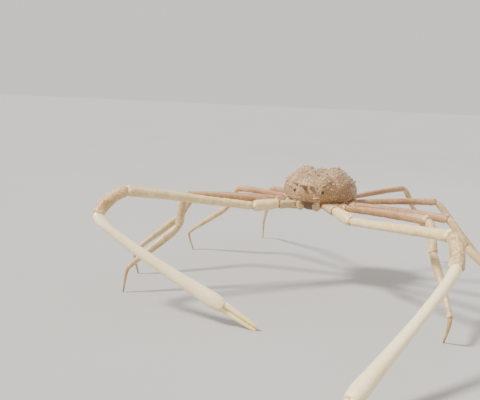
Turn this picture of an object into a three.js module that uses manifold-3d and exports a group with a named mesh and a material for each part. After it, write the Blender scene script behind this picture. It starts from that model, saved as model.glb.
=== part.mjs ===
// Japanese spider crab, an old male, as a dried museum specimen that stands on its eight
// walking legs with both long claws reaching forward to the ground.
// Millimetres, +Z up. The crab faces -Y, and +X is its own left side.

import * as THREE from "three";
import { mergeVertices } from "three/addons/utils/BufferGeometryUtils.js";
import Module from "manifold-3d";

const wasm = await Module();
wasm.setup();

// Driving dimensions of the body.
const BODY_HEIGHT = 405; // centre of the carapace above the ground
const CARAPACE_WIDTH = 330;
const CARAPACE_LENGTH = 336; // without the rostrum
const DOME_HEIGHT = 91; // middle of the back above the rim, before its swellings
const UNDER_DEPTH = 62; // how far the sides of the shell tuck in below the rim
const SHELL_EDGE = -30; // level at which the shell ends and the underside begins
const STERNUM_DEPTH = 72; // lowest face of the underside below the carapace centre
const JOINT_GAP = 0.3; // clearance between pieces that touch
const SEED = 7;

// Outline of the carapace from the back edge to the front: distance forward of the centre,
// share of the half width, and share of the dome height.
const CARAPACE_STATIONS = [
  [-0.5, 0.02, 0.02],
  [-0.485, 0.36, 0.3],
  [-0.43, 0.64, 0.56],
  [-0.33, 0.87, 0.82],
  [-0.17, 1.0, 0.98],
  [0.0, 0.96, 1.0],
  [0.15, 0.8, 0.94],
  [0.28, 0.58, 0.77],
  [0.39, 0.43, 0.58],
  [0.46, 0.34, 0.44],
  [0.495, 0.2, 0.24],
  [0.5, 0.02, 0.02],
];

// Swellings and hollows of the back: forward, sideways, height and spread.
// Those off the middle line are there on both sides.
const REGIONS = {
  gastric: [60, 0, 10, 44],
  cardiac: [-48, 0, 3, 24],
  intestinal: [-112, 0, 5, 24],
  branchial: [-58, 68, 21, 54],
  fore_branchial: [10, 90, 9, 28],
  hepatic: [92, 60, 9, 22],
  orbit: [142, 40, -8, 15],
};
const GROOVE_DEPTH = 9;
const GROOVE_WIDTH = 10;
const GROOVE_OUT = 30; // the long grooves run this far to each side of the middle line
const GROOVE_ENDS = [-105, 22]; // from the back to where they turn outward
const NECK_GROOVE_SLANT = 0.62; // forward travel of the neck groove for each step outward

// The walking legs, pair by pair from the front: where the hip sits (out, forward, above the
// carapace centre), then the lengths and the greatest thickness of a leg's pieces.
const WALKING_LEGS = {
  2: { hip: [92, 78, -54], ischium: 80, merus: 400, carpus: 130, propodus: 265, dactyl: 110, thick: 37 },
  3: { hip: [103, 22, -54], ischium: 80, merus: 385, carpus: 130, propodus: 255, dactyl: 110, thick: 36 },
  4: { hip: [98, -40, -50], ischium: 75, merus: 345, carpus: 120, propodus: 250, dactyl: 100, thick: 31 },
  5: { hip: [74, -104, -48], ischium: 70, merus: 328, carpus: 118, propodus: 252, dactyl: 104, thick: 27 },
};
const COXA_SHARE = 0.42; // the part of the ischium's length that is the coxa, fixed to the body
const COXA_SINK = 34; // how deep a coxa is rooted in the underside

// Stance of each walking leg in degrees: swing is measured from straight ahead outward, and
// rise above the level. Each propodus takes the slope that sets its foot on the ground.
const LEG_STANCE = {
  leg_2_right: { swing: 49, hipRise: 8, merusRise: 5, lowerSwing: 49, carpusRise: -74, dactylRise: -78 },
  leg_2_left: { swing: 61, hipRise: 8, merusRise: 2.5, lowerSwing: 26, carpusRise: -51, dactylRise: -108 },
  leg_3_right: { swing: 84, hipRise: 7, merusRise: -2.5, lowerSwing: 37, carpusRise: -47, dactylRise: -97 },
  leg_3_left: { swing: 85, hipRise: 8, merusRise: -2, lowerSwing: 71, carpusRise: -48, dactylRise: -70 },
  leg_4_right: { swing: 117, hipRise: 3, merusRise: -2, lowerSwing: 87, carpusRise: -59, dactylRise: -104 },
  leg_4_left: { swing: 110, hipRise: 7, merusRise: 2, lowerSwing: 98, carpusRise: -48, dactylRise: -86 },
  leg_5_right: { swing: 136, hipRise: 0, merusRise: -3, lowerSwing: 154, carpusRise: -43, dactylRise: -80 },
  leg_5_left: { swing: 142, hipRise: 8, merusRise: 4.5, lowerSwing: 140, carpusRise: -53, dactylRise: -72 },
};

// The claw arms: lengths and thickness shared by both, and the stance of each. The palm takes
// the slope that sets the tip of the fixed finger on the ground.
const CLAW = {
  hip: [75, 125, -36], ischium: 188, merus: 537, carpus: 155, palm: 595, finger: 145,
  merusThick: 40, carpusThick: 49, palmThick: 64,
};
const CLAW_STANCE = {
  claw_right: {
    swing: 47, ischiumRise: -3, merusRise: 8, carpusSwing: 24, carpusRise: -31, palmSwing: -91, roll: 0,
  },
  claw_left: {
    swing: 48.5, ischiumRise: -10, merusRise: 5.8, carpusSwing: 14, carpusRise: -26.5, palmSwing: -22.5,
    roll: -60,
  },
};
const CLAW_COXA_SHARE = 0.36;
const FINGER_OFFSETS = { fixed: -0.35, movable: 0.39, tip: 0.47 }; // of half the palm
const FINGER_TIP_RISE = 0.5; // middle of the fixed finger's blunt tip above the ground
const TIP_SINK = 2.2; // how far each tip reaches below the ground before it is cut level

// Thickness along each kind of piece: share of the way and share of half the greatest thickness.
// Each begins in a narrow neck and ends in a rounded rim round the next piece's neck.
const PROFILES = {
  coxa: [[0, 0.9], [0.5, 0.98], [0.9, 1], [1, 0.86]],
  ischium: [[0, 0.72], [0.14, 0.86], [0.5, 0.94], [0.86, 1], [1, 0.84]],
  clawIschium: [[0, 0.82], [0.1, 1.04], [0.45, 1.16], [0.8, 1.22], [0.94, 1.1], [1, 0.86]],
  merus: [
    [0, 0.68], [0.035, 0.8], [0.12, 0.8], [0.35, 0.87], [0.65, 0.93], [0.9, 1], [0.965, 1.06], [1, 0.86],
  ],
  carpus: [[0, 0.72], [0.08, 0.86], [0.3, 0.94], [0.6, 0.97], [0.86, 0.99], [0.96, 0.93], [1, 0.8]],
  propodus: [
    [0, 0.74], [0.05, 0.88], [0.18, 0.94], [0.42, 0.88], [0.72, 0.7], [0.93, 0.57], [0.98, 0.58], [1, 0.46],
  ],
  dactyl: [[0, 0.36], [0.06, 0.43], [0.2, 0.4], [0.5, 0.32], [0.8, 0.22], [1, 0.15]],
  clawMerus: [
    [0, 0.72], [0.03, 0.88], [0.12, 0.84], [0.35, 0.86], [0.65, 0.93], [0.9, 1], [0.97, 1.08], [1, 0.88],
  ],
  clawCarpus: [[0, 0.7], [0.08, 0.86], [0.35, 0.95], [0.65, 1], [0.86, 1], [0.96, 0.93], [1, 0.8]],
  palm: [
    [0, 0.64], [0.02, 0.72], [0.06, 0.74], [0.14, 0.66], [0.35, 0.61], [0.65, 0.72], [0.84, 0.88],
    [0.92, 0.96], [0.965, 0.9], [1, 0.74],
  ],
  finger: [[0, 0.35], [0.06, 0.36], [0.33, 0.31], [0.65, 0.265], [0.88, 0.225], [0.965, 0.19], [1, 0.12]],
  maxilliped: [[0, 0.2], [0.08, 0.62], [0.3, 0.94], [0.6, 1], [0.85, 0.8], [0.97, 0.45], [1, 0.15]],
  abdomen: [
    [0, 0.86], [0.1, 0.98], [0.3, 1], [0.32, 0.95], [0.5, 0.86], [0.52, 0.81], [0.7, 0.68],
    [0.9, 0.48], [1, 0.22],
  ],
  eye: [[0, 0.62], [0.35, 0.6], [0.55, 0.72], [0.72, 1], [0.88, 0.86], [0.97, 0.45], [1, 0.15]],
  antenna: [[0, 1], [0.12, 1.05], [0.16, 0.62], [0.27, 0.64], [0.3, 0.36], [0.6, 0.27], [1, 0.16]],
};

const EYE = { forward: 136, out: 46, rise: 17, length: 34, radius: 7.5, swing: 56, lift: 14 };
const ANTENNA = { forward: 150, out: 24, drop: -8, reach: 86, radius: 5 };
const MAXILLIPED = { out: 34, top: -18, bottom: -64, forward: 152, slant: 16, radius: 18, flatness: 0.55 };
const ABDOMEN = { radius: 36, flatness: 0.36, rear: -166, drop: -22, front: 18 };

// Spines of the back: forward, out, length, radius, lean forward, lean outward.
const SPINES = {
  rostral_horn: [156, 13, 46, 10, 1.6, 0.5],
  over_eye: [146, 33, 17, 6, 0.9, 0.5],
  behind_eye: [124, 56, 27, 8, 0.8, 0.9],
  liver: [98, 88, 16, 7, 0.4, 0.9],
  fore_flank: [48, 122, 13, 7, 0.2, 0.9],
  mid_flank: [-12, 146, 15, 7, 0, 1],
  rear_flank: [-76, 146, 14, 7, -0.4, 0.9],
  gastric_pair: [82, 20, 12, 7, 0.2, 0.1],
  gastric_side: [50, 48, 11, 7, 0.1, 0.2],
  branchial_top: [-40, 80, 12, 7, 0, 0.2],
  branchial_rear: [-96, 84, 11, 7, -0.2, 0.3],
};
const MIDDLE_SPINES = [58, 26, -30, -62, -112]; // forward places of the single spines
const TUBERCLES = { from: -148, to: 128, step: 31, spacing: 36, radius: 6, height: 5 };

const FINISHES = {
  back: { color: 0xb39a7c, roughness: 0.62, metalness: 0 },
  underside: { color: 0xe2d3b4, roughness: 0.6, metalness: 0 },
  arm: { color: 0xe9dcc0, roughness: 0.5, metalness: 0 },
  wrist: { color: 0xdcc59c, roughness: 0.52, metalness: 0 },
  palm: { color: 0xf3ead2, roughness: 0.48, metalness: 0 },
  leg: { color: 0xc39a7e, roughness: 0.55, metalness: 0 },
  shin: { color: 0xd6be98, roughness: 0.55, metalness: 0 },
  foot: { color: 0xcdb894, roughness: 0.6, metalness: 0 },
  eye: { color: 0x14110f, roughness: 0.2, metalness: 0 },
};

const UP = new THREE.Vector3(0, 0, 1);
const lerp = THREE.MathUtils.lerp;
const radians = THREE.MathUtils.degToRad;
const degrees = THREE.MathUtils.radToDeg;

// A repeatable draw between 0 and 1.
let drawState = SEED;
function draw() {
  drawState = (drawState * 16807) % 2147483647;
  return drawState / 2147483647;
}

// Unit vector of a swing and a rise on the left (side 1) or the right (side -1).
function heading(side, swing, rise) {
  const [s, r] = [radians(swing), radians(rise)];
  return new THREE.Vector3(side * Math.sin(s) * Math.cos(r), -Math.cos(s) * Math.cos(r), Math.sin(r));
}

// Level direction to the right of a heading, as seen along it.
function rightOf(side, swing) {
  return heading(side, swing, 0).cross(UP).normalize();
}

// A point from a place out, forward and above the carapace centre.
function bodyPoint(side, out, forward, above) {
  return new THREE.Vector3(side * out, -forward, BODY_HEIGHT + above);
}

// Straight-line reading of a table whose rows begin with a position.
function tableAt(rows, x, column = 1) {
  const last = rows.length - 1;
  if (x <= rows[0][0]) return rows[0][column];
  for (let i = 0; i < last; i++) {
    const [a, b] = [rows[i], rows[i + 1]];
    if (x <= b[0]) return lerp(a[column], b[column], (x - a[0]) / (b[0] - a[0]));
  }
  return rows[last][column];
}

// Closed geometry to a manifold solid that faces outward.
function toSolid(geometry) {
  const bare = new THREE.BufferGeometry();
  bare.setAttribute("position", geometry.getAttribute("position"));
  bare.setIndex(geometry.index);
  const merged = mergeVertices(bare, 1e-4);
  const corners = merged.index.array;
  const build = (turned) => {
    const triVerts = [];
    for (let i = 0; i < corners.length; i += 3) {
      const [a, b, c] = [corners[i], corners[i + (turned ? 2 : 1)], corners[i + (turned ? 1 : 2)]];
      if (a !== b && b !== c && c !== a) triVerts.push(a, b, c);
    }
    const vertProperties = merged.getAttribute("position").array;
    const mesh = new wasm.Mesh({ numProp: 3, vertProperties, triVerts: new Uint32Array(triVerts) });
    return new wasm.Manifold(mesh);
  };
  const solid = build(false);
  return solid.volume() > 0 ? solid : build(true);
}

// Adds a solid to the crab as a named mesh, keeping only its largest closed surface.
function addPiece(solid, name, finish) {
  const largest = solid.decompose().reduce((a, b) => (a.volume() > b.volume() ? a : b));
  const made = largest.getMesh();
  const geometry = new THREE.BufferGeometry();
  geometry.setAttribute("position", new THREE.BufferAttribute(new Float32Array(made.vertProperties), 3));
  geometry.setIndex(new THREE.BufferAttribute(made.triVerts, 1));
  geometry.computeVertexNormals();
  const mesh = new THREE.Mesh(geometry, new THREE.MeshStandardMaterial(FINISHES[finish]));
  mesh.name = name;
  crab.add(mesh);
}

function join(solids) {
  return wasm.Manifold.union(solids);
}

// A block that fills everything above or below a level.
function halfSpace(level, direction, reach = 6000) {
  const block = new THREE.BoxGeometry(reach, reach, reach);
  block.translate(0, 0, level + (direction * reach) / 2);
  return toSolid(block);
}
const ground = halfSpace(0, -1);

// Profile rows, with more of them where the path turns.
function rowsAlong(path, profile, steepest = 0.24) {
  const rows = [profile[0]];
  for (let i = 1; i < profile.length; i++) {
    const [from, to] = [profile[i - 1], profile[i]];
    const turn = path.getTangentAt(from[0]).angleTo(path.getTangentAt(to[0]));
    const parts = Math.max(1, Math.ceil(turn / steepest));
    for (let k = 1; k <= parts; k++) {
      rows.push([lerp(from[0], to[0], k / parts), lerp(from[1], to[1], k / parts)]);
    }
  }
  return rows;
}

// A turned body whose axis is bent onto a path: the profile gives share of the way and share of
// the radius, and flatness squeezes it from the sides.
function limb({ path, radius, profile, sideStart, sideEnd = sideStart, sides = 10, flatness = 1, grow = 0 }) {
  const rows = rowsAlong(path, profile);
  const outline = rows.map(([t, share]) => new THREE.Vector2(radius * share + grow, t));
  const closed = [new THREE.Vector2(0, 0), ...outline, new THREE.Vector2(0, 1)];
  const lathe = new THREE.LatheGeometry(closed, sides);
  const position = lathe.getAttribute("position");
  const side = new THREE.Vector3();
  const up = new THREE.Vector3();
  for (let i = 0; i < position.count; i++) {
    const [x, t, z] = [position.getX(i), position.getY(i), position.getZ(i)];
    const centre = path.getPointAt(t);
    const tangent = path.getTangentAt(t);
    side.lerpVectors(sideStart, sideEnd, Math.min(1, t * 3));
    side.addScaledVector(tangent, -side.dot(tangent)).normalize();
    up.crossVectors(side, tangent);
    centre.addScaledVector(side, x * flatness).addScaledVector(up, z);
    position.setXYZ(i, centre.x, centre.y, centre.z);
  }
  return toSolid(lathe);
}

// Path of a piece between two joints: it leaves square to the earlier piece's end, runs
// straight, and ends square to a direction between its own and the next piece's.
function piecePath(start, leaving, end, arriving, neck) {
  const from = start.clone().addScaledVector(leaving, JOINT_GAP);
  return new THREE.CubicBezierCurve3(
    from,
    from.clone().addScaledVector(leaving, neck),
    end.clone().addScaledVector(arriving, -neck),
    end,
  );
}

// Pointed spine whose root is sunk into the surface it stands on.
function spine(base, direction, length, radius, sides, sink) {
  const cone = new THREE.ConeGeometry(radius, length + sink, sides);
  cone.applyQuaternion(new THREE.Quaternion().setFromUnitVectors(new THREE.Vector3(0, 1, 0), direction));
  const centre = base.clone().addScaledVector(direction, (length - sink) / 2);
  cone.translate(centre.x, centre.y, centre.z);
  return toSolid(cone);
}

// Depth of the grooves that part the regions of the back.
function grooveAt(forward, out) {
  const away = Math.abs(out);
  const [rear, front] = GROOVE_ENDS;
  const rise = THREE.MathUtils.smoothstep(forward, rear - 15, rear + 15);
  const fall = 1 - THREE.MathUtils.smoothstep(forward, front - 5, front + 15);
  const long = rise * fall * Math.exp(-(((away - GROOVE_OUT) / GROOVE_WIDTH) ** 2));
  const neckLine = front + (away - GROOVE_OUT) * NECK_GROOVE_SLANT;
  const outward = THREE.MathUtils.smoothstep(away, GROOVE_OUT - 14, GROOVE_OUT + 6);
  const neck = outward * Math.exp(-(((forward - neckLine) / GROOVE_WIDTH) ** 2));
  return GROOVE_DEPTH * Math.max(long, neck);
}

// Height that the swellings and grooves add to the back.
function reliefAt(forward, out) {
  let height = -grooveAt(forward, out);
  for (const [ahead, aside, rise, spread] of Object.values(REGIONS)) {
    const gap = (forward - ahead) ** 2 + (Math.abs(out) - aside) ** 2;
    height += rise * Math.exp(-gap / spread ** 2);
  }
  return height;
}

const stationCurve = new THREE.CatmullRomCurve3(
  CARAPACE_STATIONS.map(
    ([f, w, h]) => new THREE.Vector3(f * CARAPACE_LENGTH, (w * CARAPACE_WIDTH) / 2, h * DOME_HEIGHT),
  ),
  false,
  "centripetal",
);
const STATION_ROWS = stationCurve.getPoints(90).map((p) => [p.x, p.y, p.z]);

// Level of the back above the carapace centre.
function backLevel(forward, out) {
  const width = Math.max(tableAt(STATION_ROWS, forward, 1), 1);
  const rim = Math.sqrt(1 - Math.min(Math.abs(out) / width, 1) ** 3);
  return tableAt(STATION_ROWS, forward, 2) * rim + reliefAt(forward, out) * Math.min(1, rim * 1.6);
}

// Point of the back and the direction that it faces.
function onBack(forward, out) {
  const step = 2;
  const ahead = (backLevel(forward + step, out) - backLevel(forward - step, out)) / (2 * step);
  const aside = (backLevel(forward, out + step) - backLevel(forward, out - step)) / (2 * step);
  return {
    point: bodyPoint(1, out, forward, backLevel(forward, out)),
    facing: new THREE.Vector3(-aside, ahead, 1).normalize(),
  };
}

// Cross-sections of the body from the back edge to the front, domed above the rim and tucked
// in below it.
function bodyLoft(widthShare, topScale, depth, rings, sides) {
  const outline = [];
  for (let i = 0; i <= rings; i++) outline.push(new THREE.Vector2(i === 0 || i === rings ? 0 : 1, i / rings));
  const lathe = new THREE.LatheGeometry(outline, sides);
  const position = lathe.getAttribute("position");
  for (let i = 0; i < position.count; i++) {
    const forward = -Math.cos(position.getY(i) * Math.PI) * CARAPACE_LENGTH * 0.5;
    const spread = Math.hypot(position.getX(i), position.getZ(i));
    const angle = Math.atan2(position.getZ(i), position.getX(i));
    const across = Math.sign(Math.cos(angle)) * Math.abs(Math.cos(angle)) ** 0.9 * spread;
    const whole = across * tableAt(STATION_ROWS, forward, 1);
    const deep = depth * Math.sqrt(Math.max(0, 1 - (forward / (CARAPACE_LENGTH * 0.5)) ** 4));
    const level = Math.sin(angle) >= 0 ? topScale * backLevel(forward, whole) : Math.sin(angle) * deep;
    position.setXYZ(i, whole * widthShare, -forward, BODY_HEIGHT + spread * level);
  }
  return toSolid(lathe);
}

function backSpines() {
  const made = [];
  for (const [forward, out, length, radius, ahead, outward] of Object.values(SPINES)) {
    for (const side of [-1, 1]) {
      const { point, facing } = onBack(forward, side * out);
      const lean = facing.clone().add(new THREE.Vector3(side * outward, -ahead, 0)).normalize();
      made.push(spine(point, lean, length, radius, 6, radius * 1.2));
    }
  }
  for (const forward of MIDDLE_SPINES) {
    const { point, facing } = onBack(forward, 0);
    made.push(spine(point, facing, 10, 7, 6, 6));
  }
  return made;
}

// Low worn tubercles between the spines, set in loose rows.
function backTubercles() {
  const made = [];
  const { from, to, step, spacing, radius, height } = TUBERCLES;
  for (let forward = from, row = 0; forward <= to; forward += step, row++) {
    const width = tableAt(STATION_ROWS, forward, 1) * 0.9;
    const count = Math.max(1, Math.floor((2 * width) / spacing));
    for (let k = 0; k <= count; k++) {
      const shift = row % 2 ? 0.25 : -0.25;
      const out = ((k + shift) / count - 0.5) * 2 * width + (draw() - 0.5) * 7;
      const ahead = forward + (draw() - 0.5) * 9;
      const size = 0.8 + draw() * 0.5;
      if (Math.abs(out) > tableAt(STATION_ROWS, ahead, 1) * 0.93) continue;
      const { point, facing } = onBack(ahead, out);
      made.push(spine(point, facing, height * size, radius * size, 5, 3));
    }
  }
  return made;
}

// An eye on its short stalk, under the spines at the corner of the head.
function eyeSolid(side, grow = 0) {
  const root = bodyPoint(side, EYE.out, EYE.forward, EYE.rise);
  const way = heading(side, EYE.swing, EYE.lift);
  const path = new THREE.LineCurve3(
    root.clone().addScaledVector(way, -8 - grow),
    root.clone().addScaledVector(way, EYE.length - 8 + grow),
  );
  return limb({ path, radius: EYE.radius, profile: PROFILES.eye, sideStart: rightOf(side, EYE.swing), grow });
}

// A short antenna that sweeps forward and outward beside the rostrum.
function antennaSolid(side, grow = 0) {
  const start = bodyPoint(side, ANTENNA.out, ANTENNA.forward - 8 - grow, ANTENNA.drop);
  const path = new THREE.CubicBezierCurve3(
    start,
    start.clone().add(new THREE.Vector3(side * 4, -ANTENNA.reach * 0.35, 2)),
    start.clone().add(new THREE.Vector3(side * 22, -ANTENNA.reach * 0.8, 12)),
    start.clone().add(new THREE.Vector3(side * 46, -ANTENNA.reach, 18)),
  );
  return limb({
    path, radius: ANTENNA.radius, profile: PROFILES.antenna, sideStart: rightOf(side, 10), sides: 7, grow,
  });
}

// A flat plate that covers half of the mouth.
function maxillipedSolid(side, grow = 0) {
  const { out, top, bottom, forward, slant, radius, flatness } = MAXILLIPED;
  const path = new THREE.LineCurve3(
    bodyPoint(side, out + 3, forward - slant, bottom - grow),
    bodyPoint(side, out - 2, forward, top + grow),
  );
  const sideStart = new THREE.Vector3(0, 1, 0);
  return limb({ path, radius, profile: PROFILES.maxilliped, sideStart, flatness, grow });
}

// The narrow abdomen, folded from the back edge forward under the body.
function abdomenSolid(grow = 0) {
  const { radius, flatness, rear, drop, front } = ABDOMEN;
  const path = new THREE.CubicBezierCurve3(
    bodyPoint(1, 0, rear, drop + grow),
    bodyPoint(1, 0, rear - 6, -STERNUM_DEPTH),
    bodyPoint(1, 0, rear * 0.6, -STERNUM_DEPTH + 2),
    bodyPoint(1, 0, front + grow, -STERNUM_DEPTH + 8),
  );
  const sideStart = new THREE.Vector3(0, -1, 0.2).normalize();
  return limb({ path, radius, profile: PROFILES.abdomen, sideStart, sideEnd: UP, flatness, grow, sides: 12 });
}

// A coxa, from inside the underside to the first free joint of its leg.
function coxaSolid(side, hip, { swing, rise, length, radius, sides }) {
  const way = heading(side, swing, rise);
  const path = new THREE.LineCurve3(
    hip.clone().addScaledVector(way, -COXA_SINK),
    hip.clone().addScaledVector(way, length),
  );
  return limb({ path, radius, profile: PROFILES.coxa, sideStart: rightOf(side, swing), sides });
}

// Small blunt lobe over the far rim of a merus.
function endLobe(radius) {
  return (path, side) => {
    const tangent = path.getTangentAt(0.97);
    const up = side.clone().addScaledVector(tangent, -side.dot(tangent)).normalize().cross(tangent);
    const base = path.getPointAt(0.97).addScaledVector(up, radius * 0.92);
    const lean = up.addScaledVector(tangent, 0.5).normalize();
    return [spine(base, lean, radius * 0.36, radius * 0.38, 6, radius * 0.4)];
  };
}

// Adds a chain of pieces from the hip outward and tells where and how the last one ends.
function addLimb(side, hip, coxa, pieces, afterLast) {
  coxae.push(coxaSolid(side, hip, coxa));
  const first = heading(side, coxa.swing, coxa.rise);
  const joint = hip.clone().addScaledVector(first, coxa.length);
  let end = { joint, leaving: first, right: rightOf(side, coxa.swing) };
  pieces.forEach((piece, i) => {
    const way = heading(side, piece.swing, piece.rise);
    const next = pieces[i + 1] ?? afterLast ?? piece;
    const arriving = way.clone().lerp(heading(side, next.swing, next.rise), piece.yield ?? 0.3).normalize();
    const last = end.joint.clone().addScaledVector(way, piece.length);
    const path = piecePath(end.joint, end.leaving, last, arriving, piece.neck ?? piece.radius * 1.8);
    const right = rightOf(side, piece.swing);
    const solid = limb({ ...piece, path, sideStart: end.right, sideEnd: right });
    const whole = piece.extras ? join([solid, ...piece.extras(path, right)]) : solid;
    addPiece(piece.grounded ? whole.subtract(ground) : whole, piece.name, piece.finish);
    end = { joint: last, leaving: arriving, right };
  });
  return end;
}

function addWalkingLeg(pair, sideName) {
  const side = sideName === "left" ? 1 : -1;
  const name = `leg_${pair}_${sideName}`;
  const size = WALKING_LEGS[pair];
  const pose = LEG_STANCE[name];
  const radius = size.thick / 2;
  const hip = bodyPoint(side, ...size.hip);
  const coxaLength = size.ischium * COXA_SHARE;
  // The propodus takes up the height that the other pieces leave over the ground.
  const left = hip.z
    + size.ischium * Math.sin(radians(pose.hipRise))
    + size.merus * Math.sin(radians(pose.merusRise))
    + size.carpus * Math.sin(radians(pose.carpusRise))
    + size.dactyl * Math.sin(radians(pose.dactylRise));
  const propodusRise = -degrees(Math.asin((left + TIP_SINK) / size.propodus));
  const upper = { swing: pose.swing, finish: "leg" };
  const lower = { swing: pose.lowerSwing, finish: "shin", radius };
  addLimb(side, hip, { swing: pose.swing, rise: pose.hipRise, length: coxaLength, radius: radius * 1.05 }, [
    { ...upper, name: `${name}_ischium`, length: size.ischium - coxaLength, rise: pose.hipRise,
      radius: radius * 0.95, profile: PROFILES.ischium, neck: 8 },
    { ...upper, name: `${name}_merus`, length: size.merus, rise: pose.merusRise, radius,
      profile: PROFILES.merus, flatness: 0.88, extras: endLobe(radius) },
    { ...lower, name: `${name}_carpus`, length: size.carpus, rise: pose.carpusRise,
      profile: PROFILES.carpus, flatness: 0.92 },
    { ...lower, name: `${name}_propodus`, length: size.propodus, rise: propodusRise,
      profile: PROFILES.propodus, flatness: 0.86 },
    { ...lower, name: `${name}_dactyl`, length: size.dactyl, rise: pose.dactylRise, finish: "foot",
      profile: PROFILES.dactyl, sides: 8, neck: 24, grounded: true },
  ]);
}

// The palm with its fixed finger, and the movable finger hinged beside it.
function addPalm(name, side, wrist, pose) {
  const radius = CLAW.palmThick / 2;
  const reach = CLAW.palm + CLAW.finger;
  const rise = -degrees(Math.asin(wrist.joint.z / reach));
  const along = heading(side, pose.palmSwing, rise);
  const right = rightOf(side, pose.palmSwing).applyAxisAngle(along, radians(pose.roll));
  const over = right.clone().cross(along);
  const end = wrist.joint.clone().addScaledVector(along, CLAW.palm);
  const path = piecePath(wrist.joint, wrist.leaving, end, along, radius * 2);
  const palm = limb({
    path, radius, profile: PROFILES.palm, sideStart: wrist.right, sideEnd: right, sides: 12, flatness: 0.84,
  });
  const tip = wrist.joint.clone().addScaledVector(along, reach);
  tip.z = FINGER_TIP_RISE;
  const fingerPath = (offset, tipOffset, back, shorten) => {
    const start = end.clone().addScaledVector(over, offset * radius).addScaledVector(along, back);
    const stop = tip.clone().addScaledVector(over, tipOffset * radius).addScaledVector(along, -shorten);
    return new THREE.CubicBezierCurve3(
      start,
      start.clone().addScaledVector(along, CLAW.finger * 0.3),
      start.clone().lerp(stop, 0.7),
      stop,
    );
  };
  const finger = (curve) =>
    limb({ path: curve, radius, profile: PROFILES.finger, sideStart: right, sides: 10, flatness: 0.85 });
  const fixedPath = fingerPath(FINGER_OFFSETS.fixed, 0, -20, 0);
  const movablePath = fingerPath(FINGER_OFFSETS.movable, FINGER_OFFSETS.tip, JOINT_GAP, 5);
  addPiece(join([palm, finger(fixedPath)]).subtract(ground), `${name}_palm`, "palm");
  addPiece(finger(movablePath).subtract(ground), `${name}_finger`, "palm");
}

function addClaw(sideName) {
  const side = sideName === "left" ? 1 : -1;
  const name = `claw_${sideName}`;
  const pose = CLAW_STANCE[name];
  const coxaLength = CLAW.ischium * CLAW_COXA_SHARE;
  const radius = CLAW.merusThick / 2;
  const base = { swing: pose.swing, rise: pose.ischiumRise };
  const arm = { finish: "arm", sides: 12, radius };
  const coxa = { ...base, length: coxaLength, radius: radius * 1.22, sides: 12 };
  const wrist = addLimb(side, bodyPoint(side, ...CLAW.hip), coxa, [
    { ...arm, ...base, name: `${name}_ischium`, length: CLAW.ischium - coxaLength,
      profile: PROFILES.clawIschium, neck: 26, yield: 0.5 },
    { ...arm, name: `${name}_merus`, length: CLAW.merus, swing: pose.swing, rise: pose.merusRise,
      profile: PROFILES.clawMerus, extras: endLobe(radius) },
    { ...arm, name: `${name}_carpus`, length: CLAW.carpus, swing: pose.carpusSwing, rise: pose.carpusRise,
      radius: CLAW.carpusThick / 2, profile: PROFILES.clawCarpus, yield: 0.45, finish: "wrist" },
  ], { swing: pose.palmSwing, rise: -28 });
  addPalm(name, side, wrist, pose);
}

// The shell, the underside and the pieces seated in them.
function addBody() {
  const seated = [
    ["eye", eyeSolid, "eye"],
    ["antenna", antennaSolid, "arm"],
    ["maxilliped", maxillipedSolid, "underside"],
  ];
  const seats = [abdomenSolid(JOINT_GAP)];
  for (const [sideName, side] of [["right", -1], ["left", 1]]) {
    for (const [name, make, finish] of seated) {
      addPiece(make(side), `${name}_${sideName}`, finish);
      seats.push(make(side, JOINT_GAP));
    }
  }
  addPiece(abdomenSolid(), "abdomen", "underside");
  const recess = join(seats);
  const shell = bodyLoft(1, 1, UNDER_DEPTH, 24, 32).subtract(halfSpace(BODY_HEIGHT + SHELL_EDGE, -1));
  addPiece(join([shell, ...backSpines(), ...backTubercles()]).subtract(recess), "carapace", "back");
  const underside = join([bodyLoft(0.74, 0.2, STERNUM_DEPTH, 16, 20), ...coxae])
    .subtract(halfSpace(BODY_HEIGHT + SHELL_EDGE - JOINT_GAP, 1));
  addPiece(underside.subtract(recess), "thorax", "underside");
}

const crab = new THREE.Group();
const coxae = [];
for (const sideName of ["right", "left"]) {
  addClaw(sideName);
  for (const pair of Object.keys(WALKING_LEGS)) addWalkingLeg(pair, sideName);
}
addBody();

// The origin is on the ground under the middle of the whole crab.
const middle = new THREE.Box3().setFromObject(crab).getCenter(new THREE.Vector3());
crab.position.set(-middle.x, -middle.y, 0);

export default crab;
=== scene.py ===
"""Japanese spider crab specimen at life size, dressed on the part's own frame.

The crab faces -Y, +X is its own left side and the floor is at Z = 0. Sizes are in
millimetres, as in the part's drawing, and meshes are written in metres.
"""

from __future__ import annotations

import logging
from dataclasses import dataclass, field, replace
from enum import Enum

import bpy
import numpy as np
from mathutils import Matrix, Vector

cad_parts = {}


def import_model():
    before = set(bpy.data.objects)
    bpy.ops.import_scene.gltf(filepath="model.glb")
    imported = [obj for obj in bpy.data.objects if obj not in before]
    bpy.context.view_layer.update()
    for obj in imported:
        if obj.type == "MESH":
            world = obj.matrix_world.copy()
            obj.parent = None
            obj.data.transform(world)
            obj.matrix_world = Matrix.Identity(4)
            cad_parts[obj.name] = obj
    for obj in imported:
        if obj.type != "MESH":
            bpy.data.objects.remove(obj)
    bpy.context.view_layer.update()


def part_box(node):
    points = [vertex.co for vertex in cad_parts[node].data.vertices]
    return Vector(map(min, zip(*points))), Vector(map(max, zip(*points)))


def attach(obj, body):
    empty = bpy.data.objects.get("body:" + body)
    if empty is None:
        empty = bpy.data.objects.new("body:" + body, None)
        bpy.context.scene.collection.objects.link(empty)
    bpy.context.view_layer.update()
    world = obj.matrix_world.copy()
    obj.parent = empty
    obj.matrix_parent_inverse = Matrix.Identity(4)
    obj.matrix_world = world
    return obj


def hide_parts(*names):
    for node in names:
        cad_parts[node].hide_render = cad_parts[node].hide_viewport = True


Array = np.ndarray
Rows = list[tuple[float, float]]

log = logging.getLogger("spider_crab")

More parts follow.
